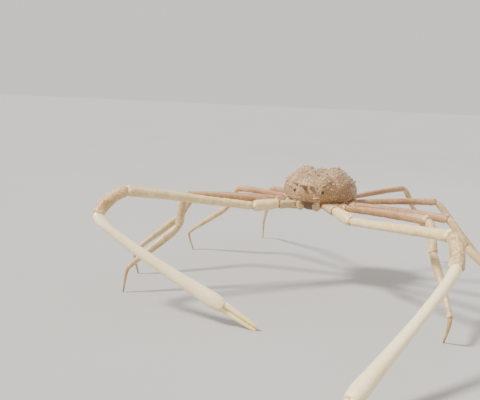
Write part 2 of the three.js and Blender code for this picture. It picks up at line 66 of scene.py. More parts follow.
MM = 0.001
UP = np.array([0.0, 0.0, 1.0])
NEAR_UP = UP + np.array([0.01, 0.02, 0])  # stands in for UP where a spine may point straight up
BODY_HEIGHT = 405.0
CARAPACE_WIDTH = 330.0
CARAPACE_LENGTH = 336.0
DOME_HEIGHT = 91.0
UNDER_DEPTH = 62.0
SHELL_EDGE = -30.0  # level of the back shell's lower edge, from the middle of the body
STERNUM_DEPTH = 72.0
JOINT_GAP = 0.3
TIP_SINK = 2.2  # how far the middle of a foot's tip lies below the floor
PLUG = 5.0  # how far a neck reaches back into the socket before it
SOCKET_DEPTH = 3.4
# What each piece's layout of grains is drawn from
SEEDS = {
    "carapace": 7, "claw": 30, "thorax": 301, "abdomen": 411, "eye": 501, "antenna": 511, "maxilliped": 521,
    "palm": 710, "finger": 720,
}
# Width of a voxel where overlapping skins are fused
VOXELS = {"carapace": 1.7, "thorax": 2.0, "palm": 1.9, "finger": 1.2}


class Side(Enum):
    """The crab's own right and left, as the sign of X."""

    RIGHT = -1
    LEFT = 1

    @property
    def word(self) -> str:
        """The side as it stands in node names."""
        return self.name.lower()


class Region(Enum):
    """Kinds of shell surface, each with its own finish."""

    BACK = "back"
    UNDERSIDE = "underside"
    ARM = "arm"
    WRIST = "wrist"
    PALM = "palm"
    LEG = "leg"
    SHIN = "shin"
    FOOT = "foot"
    EYE = "eye"


# Vectors and smooth tables


def unit(v: Array) -> Array:
    """Scales one vector, or each row of an array, to length 1."""
    return v / np.maximum(np.linalg.norm(v, axis=-1, keepdims=True), 1e-9)


def heading(side: Side, swing: float, rise: float) -> Array:
    """Unit vector of a swing from straight ahead and a rise above the level.

    Args:
        side: The side that the swing goes out to.
        swing: Degrees outward from straight ahead.
        rise: Degrees above the level.

    Returns:
        A vector of length 1.
    """
    s, r = np.radians(swing), np.radians(rise)
    return np.array([side.value * np.sin(s) * np.cos(r), -np.cos(s) * np.cos(r), np.sin(r)])


def right_of(side: Side, swing: float) -> Array:
    """Level direction to the right of a heading, as seen along it."""
    return unit(np.cross(heading(side, swing, 0), UP))


def rotated(v: Array, axis: Array, degrees: float) -> Array:
    """Turns a vector about an axis of length 1."""
    a = np.radians(degrees)
    return v * np.cos(a) + np.cross(axis, v) * np.sin(a) + axis * np.dot(axis, v) * (1 - np.cos(a))


def smooth_table(rows: Rows, x: Array) -> Array:
    """Reads a table as a smooth curve that never overshoots its rows.

    Args:
        rows: Pairs of position and value, in rising order.
        x: Positions to read.

    Returns:
        The value at each position.
    """
    xs = np.array([r[0] for r in rows], float)
    ys = np.array([r[1] for r in rows], float)
    step = np.diff(xs)
    slope = np.diff(ys) / step
    grade = np.zeros_like(xs)
    same = slope[:-1] * slope[1:] > 0
    with np.errstate(divide="ignore", invalid="ignore"):
        mean = 2 * slope[:-1] * slope[1:] / (slope[:-1] + slope[1:])
    grade[1:-1] = np.where(same, mean, 0)
    grade[0], grade[-1] = slope[0], slope[-1]
    x = np.clip(x, xs[0], xs[-1])
    i = np.clip(np.searchsorted(xs, x, side="right") - 1, 0, len(xs) - 2)
    t = (x - xs[i]) / step[i]
    t2, t3 = t * t, t * t * t
    return (
        (2 * t3 - 3 * t2 + 1) * ys[i]
        + (t3 - 2 * t2 + t) * step[i] * grade[i]
        + (3 * t2 - 2 * t3) * ys[i + 1]
        + (t3 - t2) * step[i] * grade[i + 1]
    )


def ease(x: Array, low: float, high: float) -> Array:
    """Smooth step from 0 at low to 1 at high."""
    t = np.clip((x - low) / (high - low), 0, 1)
    return t * t * (3 - 2 * t)


def ridge(x: Array, middle: float | Array, width: float) -> Array:
    """A rounded ridge of height 1 at the middle, about two widths broad."""
    return np.exp(-(((x - middle) / width) ** 2))


# Repeatable noise in space

# Large odd numbers that stir the bits of a cell's place until they look drawn by chance
CELL_FACTORS = (73856093, 19349663, 83492791)
SEED_FACTOR = 2654435761
STIRS = ((13, 1274126177), (16, 2246822519))
LAST_SHIFT = 15
WORD = 0xFFFFFFFF
FINEST = 0xFFFFFF
# Reach and height of the least grain and how much the greatest adds, and how far grains stray
GRAIN_REACH = (0.26, 0.3)
GRAIN_HEIGHT = (0.45, 0.55)
GRAIN_SHAKE = 0.8


def scatter(cells: Array, seed: int) -> Array:
    """One repeatable draw between 0 and 1 for each whole-numbered cell.

    Args:
        cells: Rows of three whole numbers.
        seed: Picks another set of draws.

    Returns:
        One number for each row.
    """
    c = cells.astype(np.int64)
    h = seed * SEED_FACTOR
    for axis, factor in enumerate(CELL_FACTORS):
        h = h ^ (c[:, axis] * factor)
    for shift, factor in STIRS:
        h = (((h ^ (h >> shift)) & WORD) * factor) & WORD
    return ((h ^ (h >> LAST_SHIFT)) & FINEST) / float(FINEST)


def waves(points: Array, scale: float, seed: int) -> Array:
    """Smooth noise between -1 and 1.

    Args:
        points: Places on the surface.
        scale: Rough width of a swell.
        seed: Picks another layout.

    Returns:
        One number for each place.
    """
    q = points / scale
    base = np.floor(q)
    f = q - base
    f = f * f * (3 - 2 * f)
    total = np.zeros(len(points))
    for corner in np.ndindex(2, 2, 2):
        offset = np.array(corner)
        weight = np.prod(np.where(offset == 1, f, 1 - f), axis=1)
        total += weight * scatter(base + offset, seed)
    return total * 2 - 1


def grains(points: Array, spacing: float, seed: int, fill: float = 0.8) -> Array:
    """Rounded grains of mixed sizes, at most one in each cell of a shaken lattice.

    Args:
        points: Places on the surface.
        spacing: Width of a cell.
        seed: Picks another layout.
        fill: Share of the cells that hold a grain.

    Returns:
        Height of the grains between 0 and 1 at each place.
    """
    q = points / spacing
    base = np.floor(q)
    best = np.zeros(len(points))
    for corner in np.ndindex(3, 3, 3):
        cell = base + np.array(corner) - 1
        middle = cell + 0.5
        for axis in range(3):
            middle[:, axis] += (scatter(cell, seed + axis + 1) - 0.5) * GRAIN_SHAKE
        size = scatter(cell, seed)
        reach = GRAIN_REACH[0] + GRAIN_REACH[1] * size
        away = np.sum((q - middle) ** 2, axis=1) / reach**2
        bump = np.clip(1 - away, 0, 1) * (GRAIN_HEIGHT[0] + GRAIN_HEIGHT[1] * size)
        best = np.maximum(best, np.where(scatter(cell, seed + 9) < fill, bump, 0))
    return best


def hills(points: Array, centres: Array, radii: Array, heights: Array, peak: float = 1.0) -> Array:
    """Hills at given places.

    Args:
        points: Places on the surface.
        centres: One row for each hill.
        radii: Reach of each hill.
        heights: Height of each hill.
        peak: 1 for a rounded top, and more for a pointed one.

    Returns:
        The highest hill at each place, or 0.
    """
    best = np.zeros(len(points))
    for centre, radius, height in zip(centres, radii, heights):
        near = np.flatnonzero(np.abs(points - centre).max(axis=1) < radius)
        if len(near) == 0:
            continue
        s = np.sqrt(np.sum((points[near] - centre) ** 2, axis=1)) / radius
        rise = np.clip(1 - s, 0, 1)
        best[near] = np.maximum(best[near], height * rise**peak * (1 + (1 - rise) * (2 - peak)))
    return best


# Meshes


def read_all(rows: bpy.types.bpy_prop_collection, key: str, width: int, kind: type) -> Array:
    """Reads one property of all rows of a Blender collection.

    Args:
        rows: The collection, such as a mesh's vertices.
        key: Name of the property.
        width: How many numbers each row has.
        kind: Type of the numbers.

    Returns:
        All numbers in one flat array.
    """
    values = np.empty(len(rows) * width, kind)
    rows.foreach_get(key, values)
    return values


@dataclass
class Skin:
    """A closed surface in millimetres, before it becomes a Blender mesh."""

    points: Array
    faces: list[list[int]]
    marks: dict[str, Array] = field(default_factory=dict)

    def joined(self, *others: "Skin") -> "Skin":
        """Puts skins together, without their marks.

        Args:
            others: The skins to add.

        Returns:
            One skin of all pieces.
        """
        points, faces, start = [self.points], list(self.faces), len(self.points)
        for other in others:
            faces += [[i + start for i in face] for face in other.faces]
            points.append(other.points)
            start += len(other.points)
        return Skin(np.vstack(points), faces)

    def mesh(self, name: str) -> bpy.types.Mesh:
        """Writes the skin, in metres, as a Blender mesh.

        Args:
            name: Name of the mesh.

        Returns:
            The new mesh, shaded smooth, with its marks as point attributes.
        """
        made = bpy.data.meshes.new(name)
        made.from_pydata((self.points * MM).tolist(), [], self.faces)
        made.validate()
        for mark, values in self.marks.items():
            layer = made.attributes.new(mark, "FLOAT", "POINT")
            layer.data.foreach_set("value", values.astype(np.float32))
        made.shade_smooth()
        return made

    def normals(self) -> Array:
        """Outward normal at every point."""
        made = self.mesh("normals")
        normals = read_all(made.vertices, "normal", 3, np.float32)
        bpy.data.meshes.remove(made)
        return normals.reshape(-1, 3).astype(float)

    def fused(self, voxel: float, smoothing: int = 2) -> "Skin":
        """Melts overlapping closed pieces into one surface.

        Args:
            voxel: Width of a voxel in millimetres.
            smoothing: Rounds of smoothing afterwards.

        Returns:
            The fused skin, with no marks.
        """
        made = self.mesh("fusing")
        carrier = bpy.data.objects.new("fusing", made)
        bpy.context.scene.collection.objects.link(carrier)
        remesh = carrier.modifiers.new("fuse", "REMESH")
        remesh.mode = "VOXEL"
        remesh.voxel_size = voxel * MM
        calm = carrier.modifiers.new("calm", "SMOOTH")
        calm.factor = 0.5
        calm.iterations = smoothing
        depsgraph = bpy.context.evaluated_depsgraph_get()
        result = bpy.data.meshes.new_from_object(carrier.evaluated_get(depsgraph))
        points = read_all(result.vertices, "co", 3, np.float32)
        corners = read_all(result.loops, "vertex_index", 1, np.int32)
        starts = read_all(result.polygons, "loop_start", 1, np.int32)
        faces = [part.tolist() for part in np.split(corners, starts[1:])]
        bpy.data.objects.remove(carrier)
        bpy.data.meshes.remove(made)
        bpy.data.meshes.remove(result)
        return Skin(points.reshape(-1, 3).astype(float) / MM, faces)


def ring_faces(rings: int, around: int) -> list[list[int]]:
    """Faces of a tube whose first and last rings are closed by a pole each.

    Args:
        rings: Number of rings.
        around: Points in each ring.

    Returns:
        The faces, as rows of the places of their points.
    """
    grid = np.arange(rings * around).reshape(rings, around)
    turned = np.roll(grid, -1, axis=1)
    quads = np.stack([grid[:-1], grid[1:], turned[1:], turned[:-1]], axis=-1).reshape(-1, 4)
    first, last = rings * around, rings * around + 1
    start = [[first, int(a), int(b)] for a, b in zip(grid[0], turned[0])]
    stop = [[last, int(b), int(a)] for a, b in zip(grid[-1], turned[-1])]
    return quads.tolist() + start + stop


@dataclass
class Path:
    """A cubic curve that is read by share of its length."""

    corners: list[Array]

    def __post_init__(self) -> None:
        """Measures the curve once."""
        u = np.linspace(0, 1, 601)
        a, b, c, d = self.corners
        w = u[:, None]
        v = 1 - w
        self.places = v**3 * a + 3 * v**2 * w * b + 3 * v * w**2 * c + w**3 * d
        steps = np.linalg.norm(np.diff(self.places, axis=0), axis=1)
        self.measured = np.concatenate([[0], np.cumsum(steps)])
        self.length = float(self.measured[-1])
        self.ways = unit(np.gradient(self.places, axis=0))
        self.ways[0] = unit(b - a)
        self.ways[-1] = unit(d - c)

    def at(self, t: Array) -> tuple[Array, Array]:
        """Points and directions, straight on beyond both ends.

        Args:
            t: Shares of the way.

        Returns:
            Points and unit tangents, one row for each share.
        """
        t = np.atleast_1d(np.asarray(t, float))
        s = np.clip(t, 0, 1) * self.length
        points, ways = (
            np.stack([np.interp(s, self.measured, rows[:, k]) for k in range(3)], axis=1)
            for rows in (self.places, self.ways)
        )
        ways = unit(ways)
        beyond = (t - np.clip(t, 0, 1)) * self.length
        return points + ways * beyond[:, None], ways


def straight(start: Array, end: Array) -> Path:
    """A straight path."""
    return Path([start, start + (end - start) / 3, end - (end - start) / 3, end])


@dataclass
class Tube:
    """A turned body whose axis is bent onto a path, with a socket at its far end."""

    path: Path
    radius: float
    profile: Rows
    right_start: Array
    right_end: Array
    flatness: float = 1.0
    around: int = 44
    spacing: float = 2.2
    plug: float = PLUG
    socket: float = SOCKET_DEPTH
    scallop: float = 0.0

    def frame(self, t: Array) -> tuple[Array, Array, Array, Array]:
        """Finds how the tube lies along its way.

        Args:
            t: Shares of the way.

        Returns:
            Centres, sideways and upward directions, and tangents, one row for each share.
        """
        centres, ways = self.path.at(t)
        share = np.clip(np.atleast_1d(t) * 3, 0, 1)[:, None]
        side = self.right_start * (1 - share) + self.right_end * share
        side = unit(side - ways * np.sum(side * ways, axis=1, keepdims=True))
        return centres, side, np.cross(side, ways), ways

    def generatrix(self) -> tuple[Array, Array, Array]:
        """Places along, radii and membrane marks of the rings, from neck to socket floor."""
        length = self.path.length
        count = max(int(length / self.spacing), 12)
        t = np.linspace(0, 1, count + 1)
        r = self.radius * smooth_table(self.profile, t)
        mark = 1 - ease(t * length, 1.0, 5.0)
        near, far = r[0], r[-1]
        # Each row of the neck and the lip is a place past the end and a share of the end's
        # radius, and on the lip also how far it is membrane
        if self.plug > 0:
            neck = np.array([(-self.plug, 0.5), (-self.plug, 0.9), (-self.plug / 2, 1)])
            t = np.concatenate([neck[:, 0] / length, t])
            r = np.concatenate([near * neck[:, 1], r])
            mark = np.concatenate([[1, 1, 1], mark])
        if self.socket > 0:
            deep = -self.socket
            lip = np.array([
                (0.5, 0.98, 0), (0.45, 0.93, 0), (-0.3, 0.88, 0), (-1.4, 0.85, 0.3),
                (deep * 0.8, 0.8, 0.9), (deep, 0.66, 1), (deep, 0.2, 1),
            ])
            t = np.concatenate([t, 1 + lip[:, 0] / length])
            r = np.concatenate([r, far * lip[:, 1]])
            mark = np.concatenate([mark, lip[:, 2]])
        return t, r, mark

    def skin(self) -> Skin:
        """The tube as a closed skin, with marks for the way along and the membrane."""
        t, r, mark = self.generatrix()
        centres, side, up, ways = self.frame(t)
        angle = np.arange(self.around) / self.around * 2 * np.pi
        cos, sin = np.cos(angle), np.sin(angle)
        reach = r[:, None]
        grid = (
            centres[:, None, :]
            + side[:, None, :] * (reach * cos * self.flatness)[..., None]
            + up[:, None, :] * (reach * sin)[..., None]
        )
        if self.scallop:
            window = ease(t, 1 - 2.2 * self.radius / self.path.length, 1.0)[:, None]
            grid += ways[:, None, :] * (window * self.scallop * np.cos(2 * angle))[..., None]
        points = np.vstack([grid.reshape(-1, 3), centres[0], centres[-1]])
        marks = {
            "along": np.append(np.repeat(np.clip(t, 0, 1), self.around), [0, 1]),
            "membrane": np.append(np.repeat(mark, self.around), mark[[0, -1]]),
        }
        return Skin(points, ring_faces(len(t), self.around), marks)

    def place(self, t: float, angle: float) -> Array:
        """A point of the bare surface.

        Args:
            t: Share of the way.
            angle: Degrees round the axis, 0 at the right and 90 on top.

        Returns:
            The point.
        """
        centre, side, up, _ = (part[0] for part in self.frame(np.array([t])))
        a = np.radians(angle)
        away = side * np.cos(a) * self.flatness + up * np.sin(a)
        radius = self.radius * float(smooth_table(self.profile, np.array([t]))[0])
        return centre + away * radius


def plain_tube(path: Path, radius: float, profile: str, right: Array, **sizes: float) -> Tube:
    """A tube with neither a plug nor a socket.

    Args:
        path: Its axis.
        radius: Its greatest radius.
        profile: Name of its profile.
        right: Direction across it.
        sizes: Further fields of the tube.

    Returns:
        The tube.
    """
    return Tube(path, radius, PROFILES[profile], right, right, plug=0, socket=0, **sizes)


def cone_skin(base: Array, way: Array, length: float, radius: float, sink: float) -> Skin:
    """A rounded spine.

    Args:
        base: Where it stands.
        way: Direction of its tip.
        length: Its height.
        radius: Radius of its root.
        sink: How far the root is sunk into what it stands on.

    Returns:
        The closed skin.
    """
    path = straight(base - way * sink, base + way * length)
    right = unit(np.cross(way, NEAR_UP))
    return plain_tube(path, radius, "spine", right, around=20, spacing=max(length / 12, 1.0)).skin()


# Finishes


def tone(code: int) -> tuple[float, float, float, float]:
    """Turns a screen colour into a linear one.

    Args:
        code: The screen colour as one hexadecimal number.

    Returns:
        Red, green, blue and a full alpha.
    """
    parts = [((code >> shift) & 255) / 255 for shift in (16, 8, 0)]
    linear = [c / 12.92 if c <= 0.04045 else ((c + 0.055) / 1.055) ** 2.4 for c in parts]
    return (linear[0], linear[1], linear[2], 1.0)


class Socket(Enum):
    """Kinds of group socket."""

    COLOR = "NodeSocketColor"
    VALUE = "NodeSocketFloat"
    VECTOR = "NodeSocketVector"

    @staticmethod
    def holding(value: object) -> "Socket":
        """Picks the kind of a socket.

        Args:
            value: Its default, which is a colour, a number, or None for a vector.

        Returns:
            The kind that holds it.
        """
        if value is None:
            return Socket.VECTOR
        return Socket.COLOR if isinstance(value, tuple) else Socket.VALUE


@dataclass
class Wiring:
    """Adds nodes to one tree and links them."""

    tree: bpy.types.NodeTree

    def add(self, kind: str, links: dict[str | int, object], **settings: object) -> bpy.types.Node:
        """Adds a shader node, sets its properties and fills its inputs.

        Args:
            kind: Blender's name of the node type, after the words ShaderNode.
            links: For each input, a socket to link or a value to set.
            settings: Properties of the node.

        Returns:
            The new node.
        """
        made = self.tree.nodes.new(f"ShaderNode{kind}")
        for key, value in settings.items():
            setattr(made, key, value)
        for key, value in links.items():
            if isinstance(value, bpy.types.NodeSocket):
                self.tree.links.new(value, made.inputs[key])
            else:
                made.inputs[key].default_value = value
        return made

    def mixed(self, factor: object, first: object, second: object) -> bpy.types.NodeSocket:
        """Mixes two colours."""
        return self.add("Mix", {0: factor, 6: first, 7: second}, data_type="RGBA").outputs[2]

    def ramped(self, value: object, low: float, high: float) -> bpy.types.NodeSocket:
        """Eases a value from 0 at low to 1 at high."""
        links = {"Value": value, "From Min": low, "From Max": high}
        return self.add("MapRange", links, interpolation_type="SMOOTHSTEP").outputs["Result"]

    def spread(self, value: object, first: float, last: float, until: float = 1.0) -> bpy.types.NodeSocket:
        """Turns values from 0 until a limit evenly into values from first to last."""
        links = {"Value": value, "From Max": until, "To Min": first, "To Max": last}
        return self.add("MapRange", links).outputs["Result"]

    def times(self, first: object, second: object) -> bpy.types.NodeSocket:
        """Multiplies two values."""
        return self.add("Math", {0: first, 1: second}, operation="MULTIPLY").outputs[0]

    def plus(self, first: object, second: object) -> bpy.types.NodeSocket:
        """Adds two values."""
        return self.add("Math", {0: first, 1: second}, operation="ADD").outputs[0]

    def noise(
        self, spot: object, scale: object, detail: float, roughness: float = 0.5, distortion: float = 0.0
    ) -> bpy.types.NodeSocket:
        """Cloudy noise.

        Args:
            spot: Where it is read.
            scale: How many clouds fit in a metre.
            detail: How many finer layers it has.
            roughness: How strong the finer layers are.
            distortion: How much the clouds are twisted.

        Returns:
            The socket of its value.
        """
        links = {"Vector": spot, "Scale": scale, "Detail": detail, "Roughness": roughness}
        return self.add("TexNoise", {**links, "Distortion": distortion}).outputs["Fac"]

    def bump(self, height: object, strength: float, distance: float) -> bpy.types.NodeSocket:
        """Turns a height into a normal."""
        links = {"Height": height, "Strength": strength, "Distance": distance}
        return self.add("Bump", links).outputs["Normal"]


class GroupWiring(Wiring):
    """One shader node group with named inputs and outputs."""

    def __init__(self, name: str, inputs: dict[str, object], outputs: dict[str, Socket]) -> None:
        """Makes the empty group with its sockets.

        Args:
            name: Name of the group.
            inputs: The default value of each input.
            outputs: The kind of each output.
        """
        super().__init__(bpy.data.node_groups.new(name, "ShaderNodeTree"))
        sockets = self.tree.interface
        for key, value in inputs.items():
            kind = Socket.holding(value).value
            made = sockets.new_socket(name=key, in_out="INPUT", socket_type=kind)
            if value is not None:
                made.default_value = value
        for key, kind in outputs.items():
            sockets.new_socket(name=key, in_out="OUTPUT", socket_type=kind.value)
        self.given = self.tree.nodes.new("NodeGroupInput").outputs
        self.result = self.tree.nodes.new("NodeGroupOutput").inputs

    def giving(self, **results: bpy.types.NodeSocket) -> bpy.types.NodeTree:
        """Closes the group.

        Args:
            results: What each output of the same name gives.

        Returns:
            The finished group.
        """
        for key, value in results.items():
            self.tree.links.new(value, self.result[key])
        return self.tree


def mottle_group() -> bpy.types.NodeTree:
    """Cloudy blotches and fine flecks over a base colour."""
    made = GroupWiring(
        "Shell mottle",
        {
            "Vector": None, "Base": tone(0xD8C8A8), "Blotch": tone(0xA88868), "Fleck": tone(0x6F5540),
            "Blotch Scale": 18.0, "Blotch Amount": 0.5, "Fleck Scale": 220.0, "Fleck Amount": 0.3,
        },
        {"Color": Socket.COLOR, "Blotches": Socket.VALUE},
    )
    given = made.given
    cloud = made.noise(given["Vector"], given["Blotch Scale"], 5.0, 0.62, 0.6)
    blotches = made.ramped(cloud, 0.42, 0.68)
    flecks = made.ramped(made.noise(given["Vector"], given["Fleck Scale"], 3.0, 0.7), 0.56, 0.74)
    blotched = made.times(blotches, given["Blotch Amount"])
    flecked = made.times(flecks, given["Fleck Amount"])
    first = made.mixed(blotched, given["Base"], given["Blotch"])
    return made.giving(Color=made.mixed(flecked, first, given["Fleck"]), Blotches=blotches)


def wear_group() -> bpy.types.NodeTree:
    """Pale worn grain tips, dark hollows between them, and the membrane colour, which is brown membrane in
    the joints and painted shade in the underside's mouth and grooves.
    """
    made = GroupWiring(
        "Shell wear",
        {
            "Color": tone(0xD8C8A8), "Tip": tone(0xF4ECD8), "Hollow": tone(0x7A6048),
            "Membrane": tone(0x5C4028), "Grain Mask": 0.0, "Membrane Mask": 0.0, "Tip Amount": 0.6,
            "Hollow Amount": 0.3,
        },
        {"Color": Socket.COLOR},
    )
    given = made.given
    tips = made.times(made.ramped(given["Grain Mask"], 0.25, 0.85), given["Tip Amount"])
    dark = made.times(made.spread(given["Grain Mask"], 1.0, 0.0, until=0.22), given["Hollow Amount"])
    first = made.mixed(dark, given["Color"], given["Hollow"])
    second = made.mixed(tips, first, given["Tip"])
    stain_and_shade = made.ramped(given["Membrane Mask"], 0.1, 0.8)
    return made.giving(Color=made.mixed(stain_and_shade, second, given["Membrane"]))


def dust_group() -> bpy.types.NodeTree:
    """Dust that has settled on faces that look up."""
    made = GroupWiring(
        "Settled dust",
        {"Vector": None, "Color": tone(0xD8C8A8), "Dust": tone(0xB9B1A4), "Facing Up": 0.0, "Amount": 0.15},
        {"Color": Socket.COLOR, "Mask": Socket.VALUE},
    )
    given = made.given
    drift = made.ramped(made.noise(given["Vector"], 60.0, 4.0, 0.7), 0.3, 0.7)
    patchy = made.times(made.ramped(given["Facing Up"], 0.35, 1.0), drift)
    mask = made.times(patchy, given["Amount"])
    return made.giving(Color=made.mixed(mask, given["Color"], given["Dust"]), Mask=mask)


def relief_group() -> bpy.types.NodeTree:
    """Pores, fine grain and shallow wrinkles as one height."""
    made = GroupWiring(
        "Shell relief",
        {
            "Vector": None, "Grain Scale": 420.0, "Pore Scale": 260.0, "Wrinkle Scale": 70.0,
            "Grain": 0.5, "Pores": 0.4, "Wrinkles": 0.4,
        },
        {"Height": Socket.VALUE},
    )
    given = made.given
    spot = given["Vector"]
    grain = made.noise(spot, given["Grain Scale"], 3.0, 0.6)
    pores = made.add("TexVoronoi", {"Vector": spot, "Scale": given["Pore Scale"], "Randomness": 1.0})
    wrinkles = made.noise(spot, given["Wrinkle Scale"], 5.0, 0.55, 1.2)
    pitted = made.ramped(pores.outputs["Distance"], 0.02, 0.32)
    total = made.plus(made.times(grain, given["Grain"]), made.times(pitted, given["Pores"]))
    return made.giving(Height=made.plus(total, made.times(wrinkles, given["Wrinkles"])))


class MaterialWiring(Wiring):
    """One material, from the marks on its piece to the shader."""

    def __init__(self, name: str) -> None:
        """Starts an empty material that is read in its piece's own space."""
        self.material = bpy.data.materials.new(name)
        self.material.use_nodes = True
        super().__init__(self.material.node_tree)
        self.tree.nodes.clear()
        self.spot = self.add("TexCoord", {}).outputs["Object"]

    def mark(self, name: str) -> bpy.types.NodeSocket:
        """A mark that the piece's points carry."""
        return self.add("Attribute", {}, attribute_name=name).outputs["Fac"]

    def group(self, tree: bpy.types.NodeTree, links: dict[str, object]) -> bpy.types.NodeOutputs:
        """Places a shared group with the material's own values and gives its outputs."""
        return self.add("Group", links, node_tree=tree).outputs

    def finished(self, links: dict[str, object]) -> bpy.types.Material:
        """Closes the material with a Principled shader.

        Args:
            links: For each of the shader's inputs, a socket to link or a value to set.

        Returns:
            The finished material.
        """
        shader = self.add("BsdfPrincipled", links)
        self.add("OutputMaterial", {"Surface": shader.outputs["BSDF"]})
        return self.material


@dataclass(frozen=True)
class ShellFinish:
    """Colours and gloss of one kind of shell surface."""

    name: str
    base: int
    blotch: int
    fleck: int
    tip: int
    hollow: int
    # Membrane colour: brown joint membrane, and on the underside also painted shade in the mouth and sternum
    # grooves
    membrane: int = 0x94744E
    blotch_scale: float = 18.0
    blotch_amount: float = 0.5
    fleck_amount: float = 0.3
    tip_amount: float = 0.55
    hollow_amount: float = 0.3
    fade: int | None = None
    fade_from: float = 0.2
    fade_to: float = 1.0
    roughness: float = 0.5
    smoother: float = 0.06
    rougher: float = 0.12
    coat: float = 0.12
    coat_roughness: float = 0.32
    dust: float = 0.18
    bump: float = 0.35
    bump_depth: float = 0.0009

    def material(self, groups: dict[str, bpy.types.NodeTree]) -> bpy.types.Material:
        """Builds the material.

        Args:
            groups: The shared node groups by name.

        Returns:
            The finished material.
        """
        made = MaterialWiring(self.name)
        base: object = tone(self.base)
        if self.fade is not None:
            faded = made.ramped(made.mark("along"), self.fade_from, self.fade_to)
            base = made.mixed(faded, tone(self.base), tone(self.fade))
        mottle = made.group(groups["Shell mottle"], {
            "Vector": made.spot, "Base": base, "Blotch": tone(self.blotch), "Fleck": tone(self.fleck),
            "Blotch Scale": self.blotch_scale, "Blotch Amount": self.blotch_amount,
            "Fleck Amount": self.fleck_amount,
        })
        wear = made.group(groups["Shell wear"], {
            "Color": mottle["Color"], "Tip": tone(self.tip), "Hollow": tone(self.hollow),
            "Membrane": tone(self.membrane), "Grain Mask": made.mark("grain"),
            "Membrane Mask": made.mark("membrane"), "Tip Amount": self.tip_amount,
            "Hollow Amount": self.hollow_amount,
        })
        facing = made.add("NewGeometry", {}).outputs["Normal"]
        upward = made.add("SeparateXYZ", {"Vector": facing}).outputs["Z"]
        dust = made.group(groups["Settled dust"], {
            "Vector": made.spot, "Color": wear["Color"], "Facing Up": upward, "Amount": self.dust,
        })
        relief = made.group(groups["Shell relief"], {"Vector": made.spot})
        low, high = self.roughness - self.smoother, self.roughness + self.rougher
        rough = made.plus(made.spread(mottle["Blotches"], low, high), dust["Mask"])
        return made.finished({
            "Base Color": dust["Color"], "Roughness": rough,
            "Normal": made.bump(relief["Height"], self.bump, self.bump_depth),
            "Coat Weight": self.coat, "Coat Roughness": self.coat_roughness,
        })


@dataclass(frozen=True)
class EyeFinish:
    """A dark glossy cornea on a pale stalk."""

    name: str = "eye_shell"
    cornea: int = 0x33241A
    stalk: int = 0xC9B492
    edge: tuple[float, float] = (0.7, 0.75)
    roughness: tuple[float, float] = (0.55, 0.3)
    coat: float = 0.3
    facet_scale: float = 1400.0
    facet_depth: float = 0.0002

    def material(self, groups: dict[str, bpy.types.NodeTree]) -> bpy.types.Material:
        """Builds the material.

        Args:
            groups: The shared node groups by name.

        Returns:
            The finished material.
        """
        made = MaterialWiring(self.name)
        dark = made.ramped(made.mark("along"), *self.edge)
        mottle = made.group(groups["Shell mottle"], {
            "Vector": made.spot, "Base": tone(self.stalk), "Blotch Scale": 90.0, "Blotch Amount": 0.4,
        })
        links = {"Vector": made.spot, "Scale": self.facet_scale, "Randomness": 0.1}
        facets = made.add("TexVoronoi", links).outputs["Distance"]
        return made.finished({
            "Base Color": made.mixed(dark, mottle["Color"], tone(self.cornea)),
            "Roughness": made.spread(dark, *self.roughness),
            "Normal": made.bump(facets, 0.2, self.facet_depth), "Coat Weight": self.coat,
        })


FINISHES: dict[Region, ShellFinish | EyeFinish] = {
    Region.BACK: ShellFinish(
        "back_shell", 0xA88558, 0x7C5438, 0x583A26, 0xE2CFA0, 0x6E4A30, blotch_scale=11.0, blotch_amount=0.7,
        tip_amount=0.7, hollow_amount=0.45, roughness=0.5, coat=0.2, dust=0.2, bump=0.6,
    ),
    # The underside's membrane colour is also painted shade in the mouth and sternum grooves
    Region.UNDERSIDE: ShellFinish(
        "underside_shell", 0xCDB084, 0xA88456, 0x7A5636, 0xE8D8B0, 0x8E6C46, 0x5E4026, blotch_amount=0.55,
        roughness=0.55,
    ),
    Region.ARM: ShellFinish(
        "arm_shell", 0xECD49C, 0xC6945E, 0x8E6038, 0xF8ECCA, 0xB48C58, blotch_scale=14.0,
        blotch_amount=0.45, fleck_amount=0.28, tip_amount=0.5, hollow_amount=0.2, roughness=0.42, coat=0.2,
        dust=0.08,
    ),
    Region.WRIST: ShellFinish(
        "wrist_shell", 0xDCBE86, 0x9A6C3C, 0x64401F, 0xF2E2B6, 0x966C3C, blotch_scale=24.0,
        blotch_amount=0.75, fleck_amount=0.5, tip_amount=0.6, hollow_amount=0.3, roughness=0.44, coat=0.2,
        dust=0.08,
    ),
    Region.PALM: ShellFinish(
        "palm_shell", 0xFBEBBE, 0xEECE8A, 0xB08650, 0xFFFAE8, 0xDCC08A, blotch_scale=10.0, blotch_amount=0.35,
        fleck_amount=0.16, tip_amount=0.45, hollow_amount=0.14, fade=0xF0D080, fade_from=0.7, fade_to=1.05,
        roughness=0.36, coat=0.28, dust=0.05, bump=0.25,
    ),
    Region.LEG: ShellFinish(
        "leg_shell", 0xAE8056, 0x875A3A, 0x633C26, 0xE6CCA2, 0x84583A, blotch_scale=16.0, blotch_amount=0.55,
        fade=0xC89E70, fade_from=0.55, fade_to=1.0, tip_amount=0.5, hollow_amount=0.3, roughness=0.44,
        coat=0.18,
    ),
    Region.SHIN: ShellFinish(
        "shin_shell", 0xD6BC8A, 0xAC8252, 0x7C542E, 0xF2E2B8, 0xA47A4A, blotch_scale=20.0, blotch_amount=0.5,
        tip_amount=0.5, hollow_amount=0.28, roughness=0.46, coat=0.15,
    ),
    Region.FOOT: ShellFinish(
        "foot_shell", 0xCFAF7A, 0x9C7444, 0x643F22, 0xEBD6A6, 0x8C663C, blotch_scale=26.0, blotch_amount=0.5,
        fade=0x84603A, fade_from=0.6, fade_to=1.0, roughness=0.5, coat=0.1, bump=0.3,
    ),
    Region.EYE: EyeFinish(),
}


# Fine shape of the shell


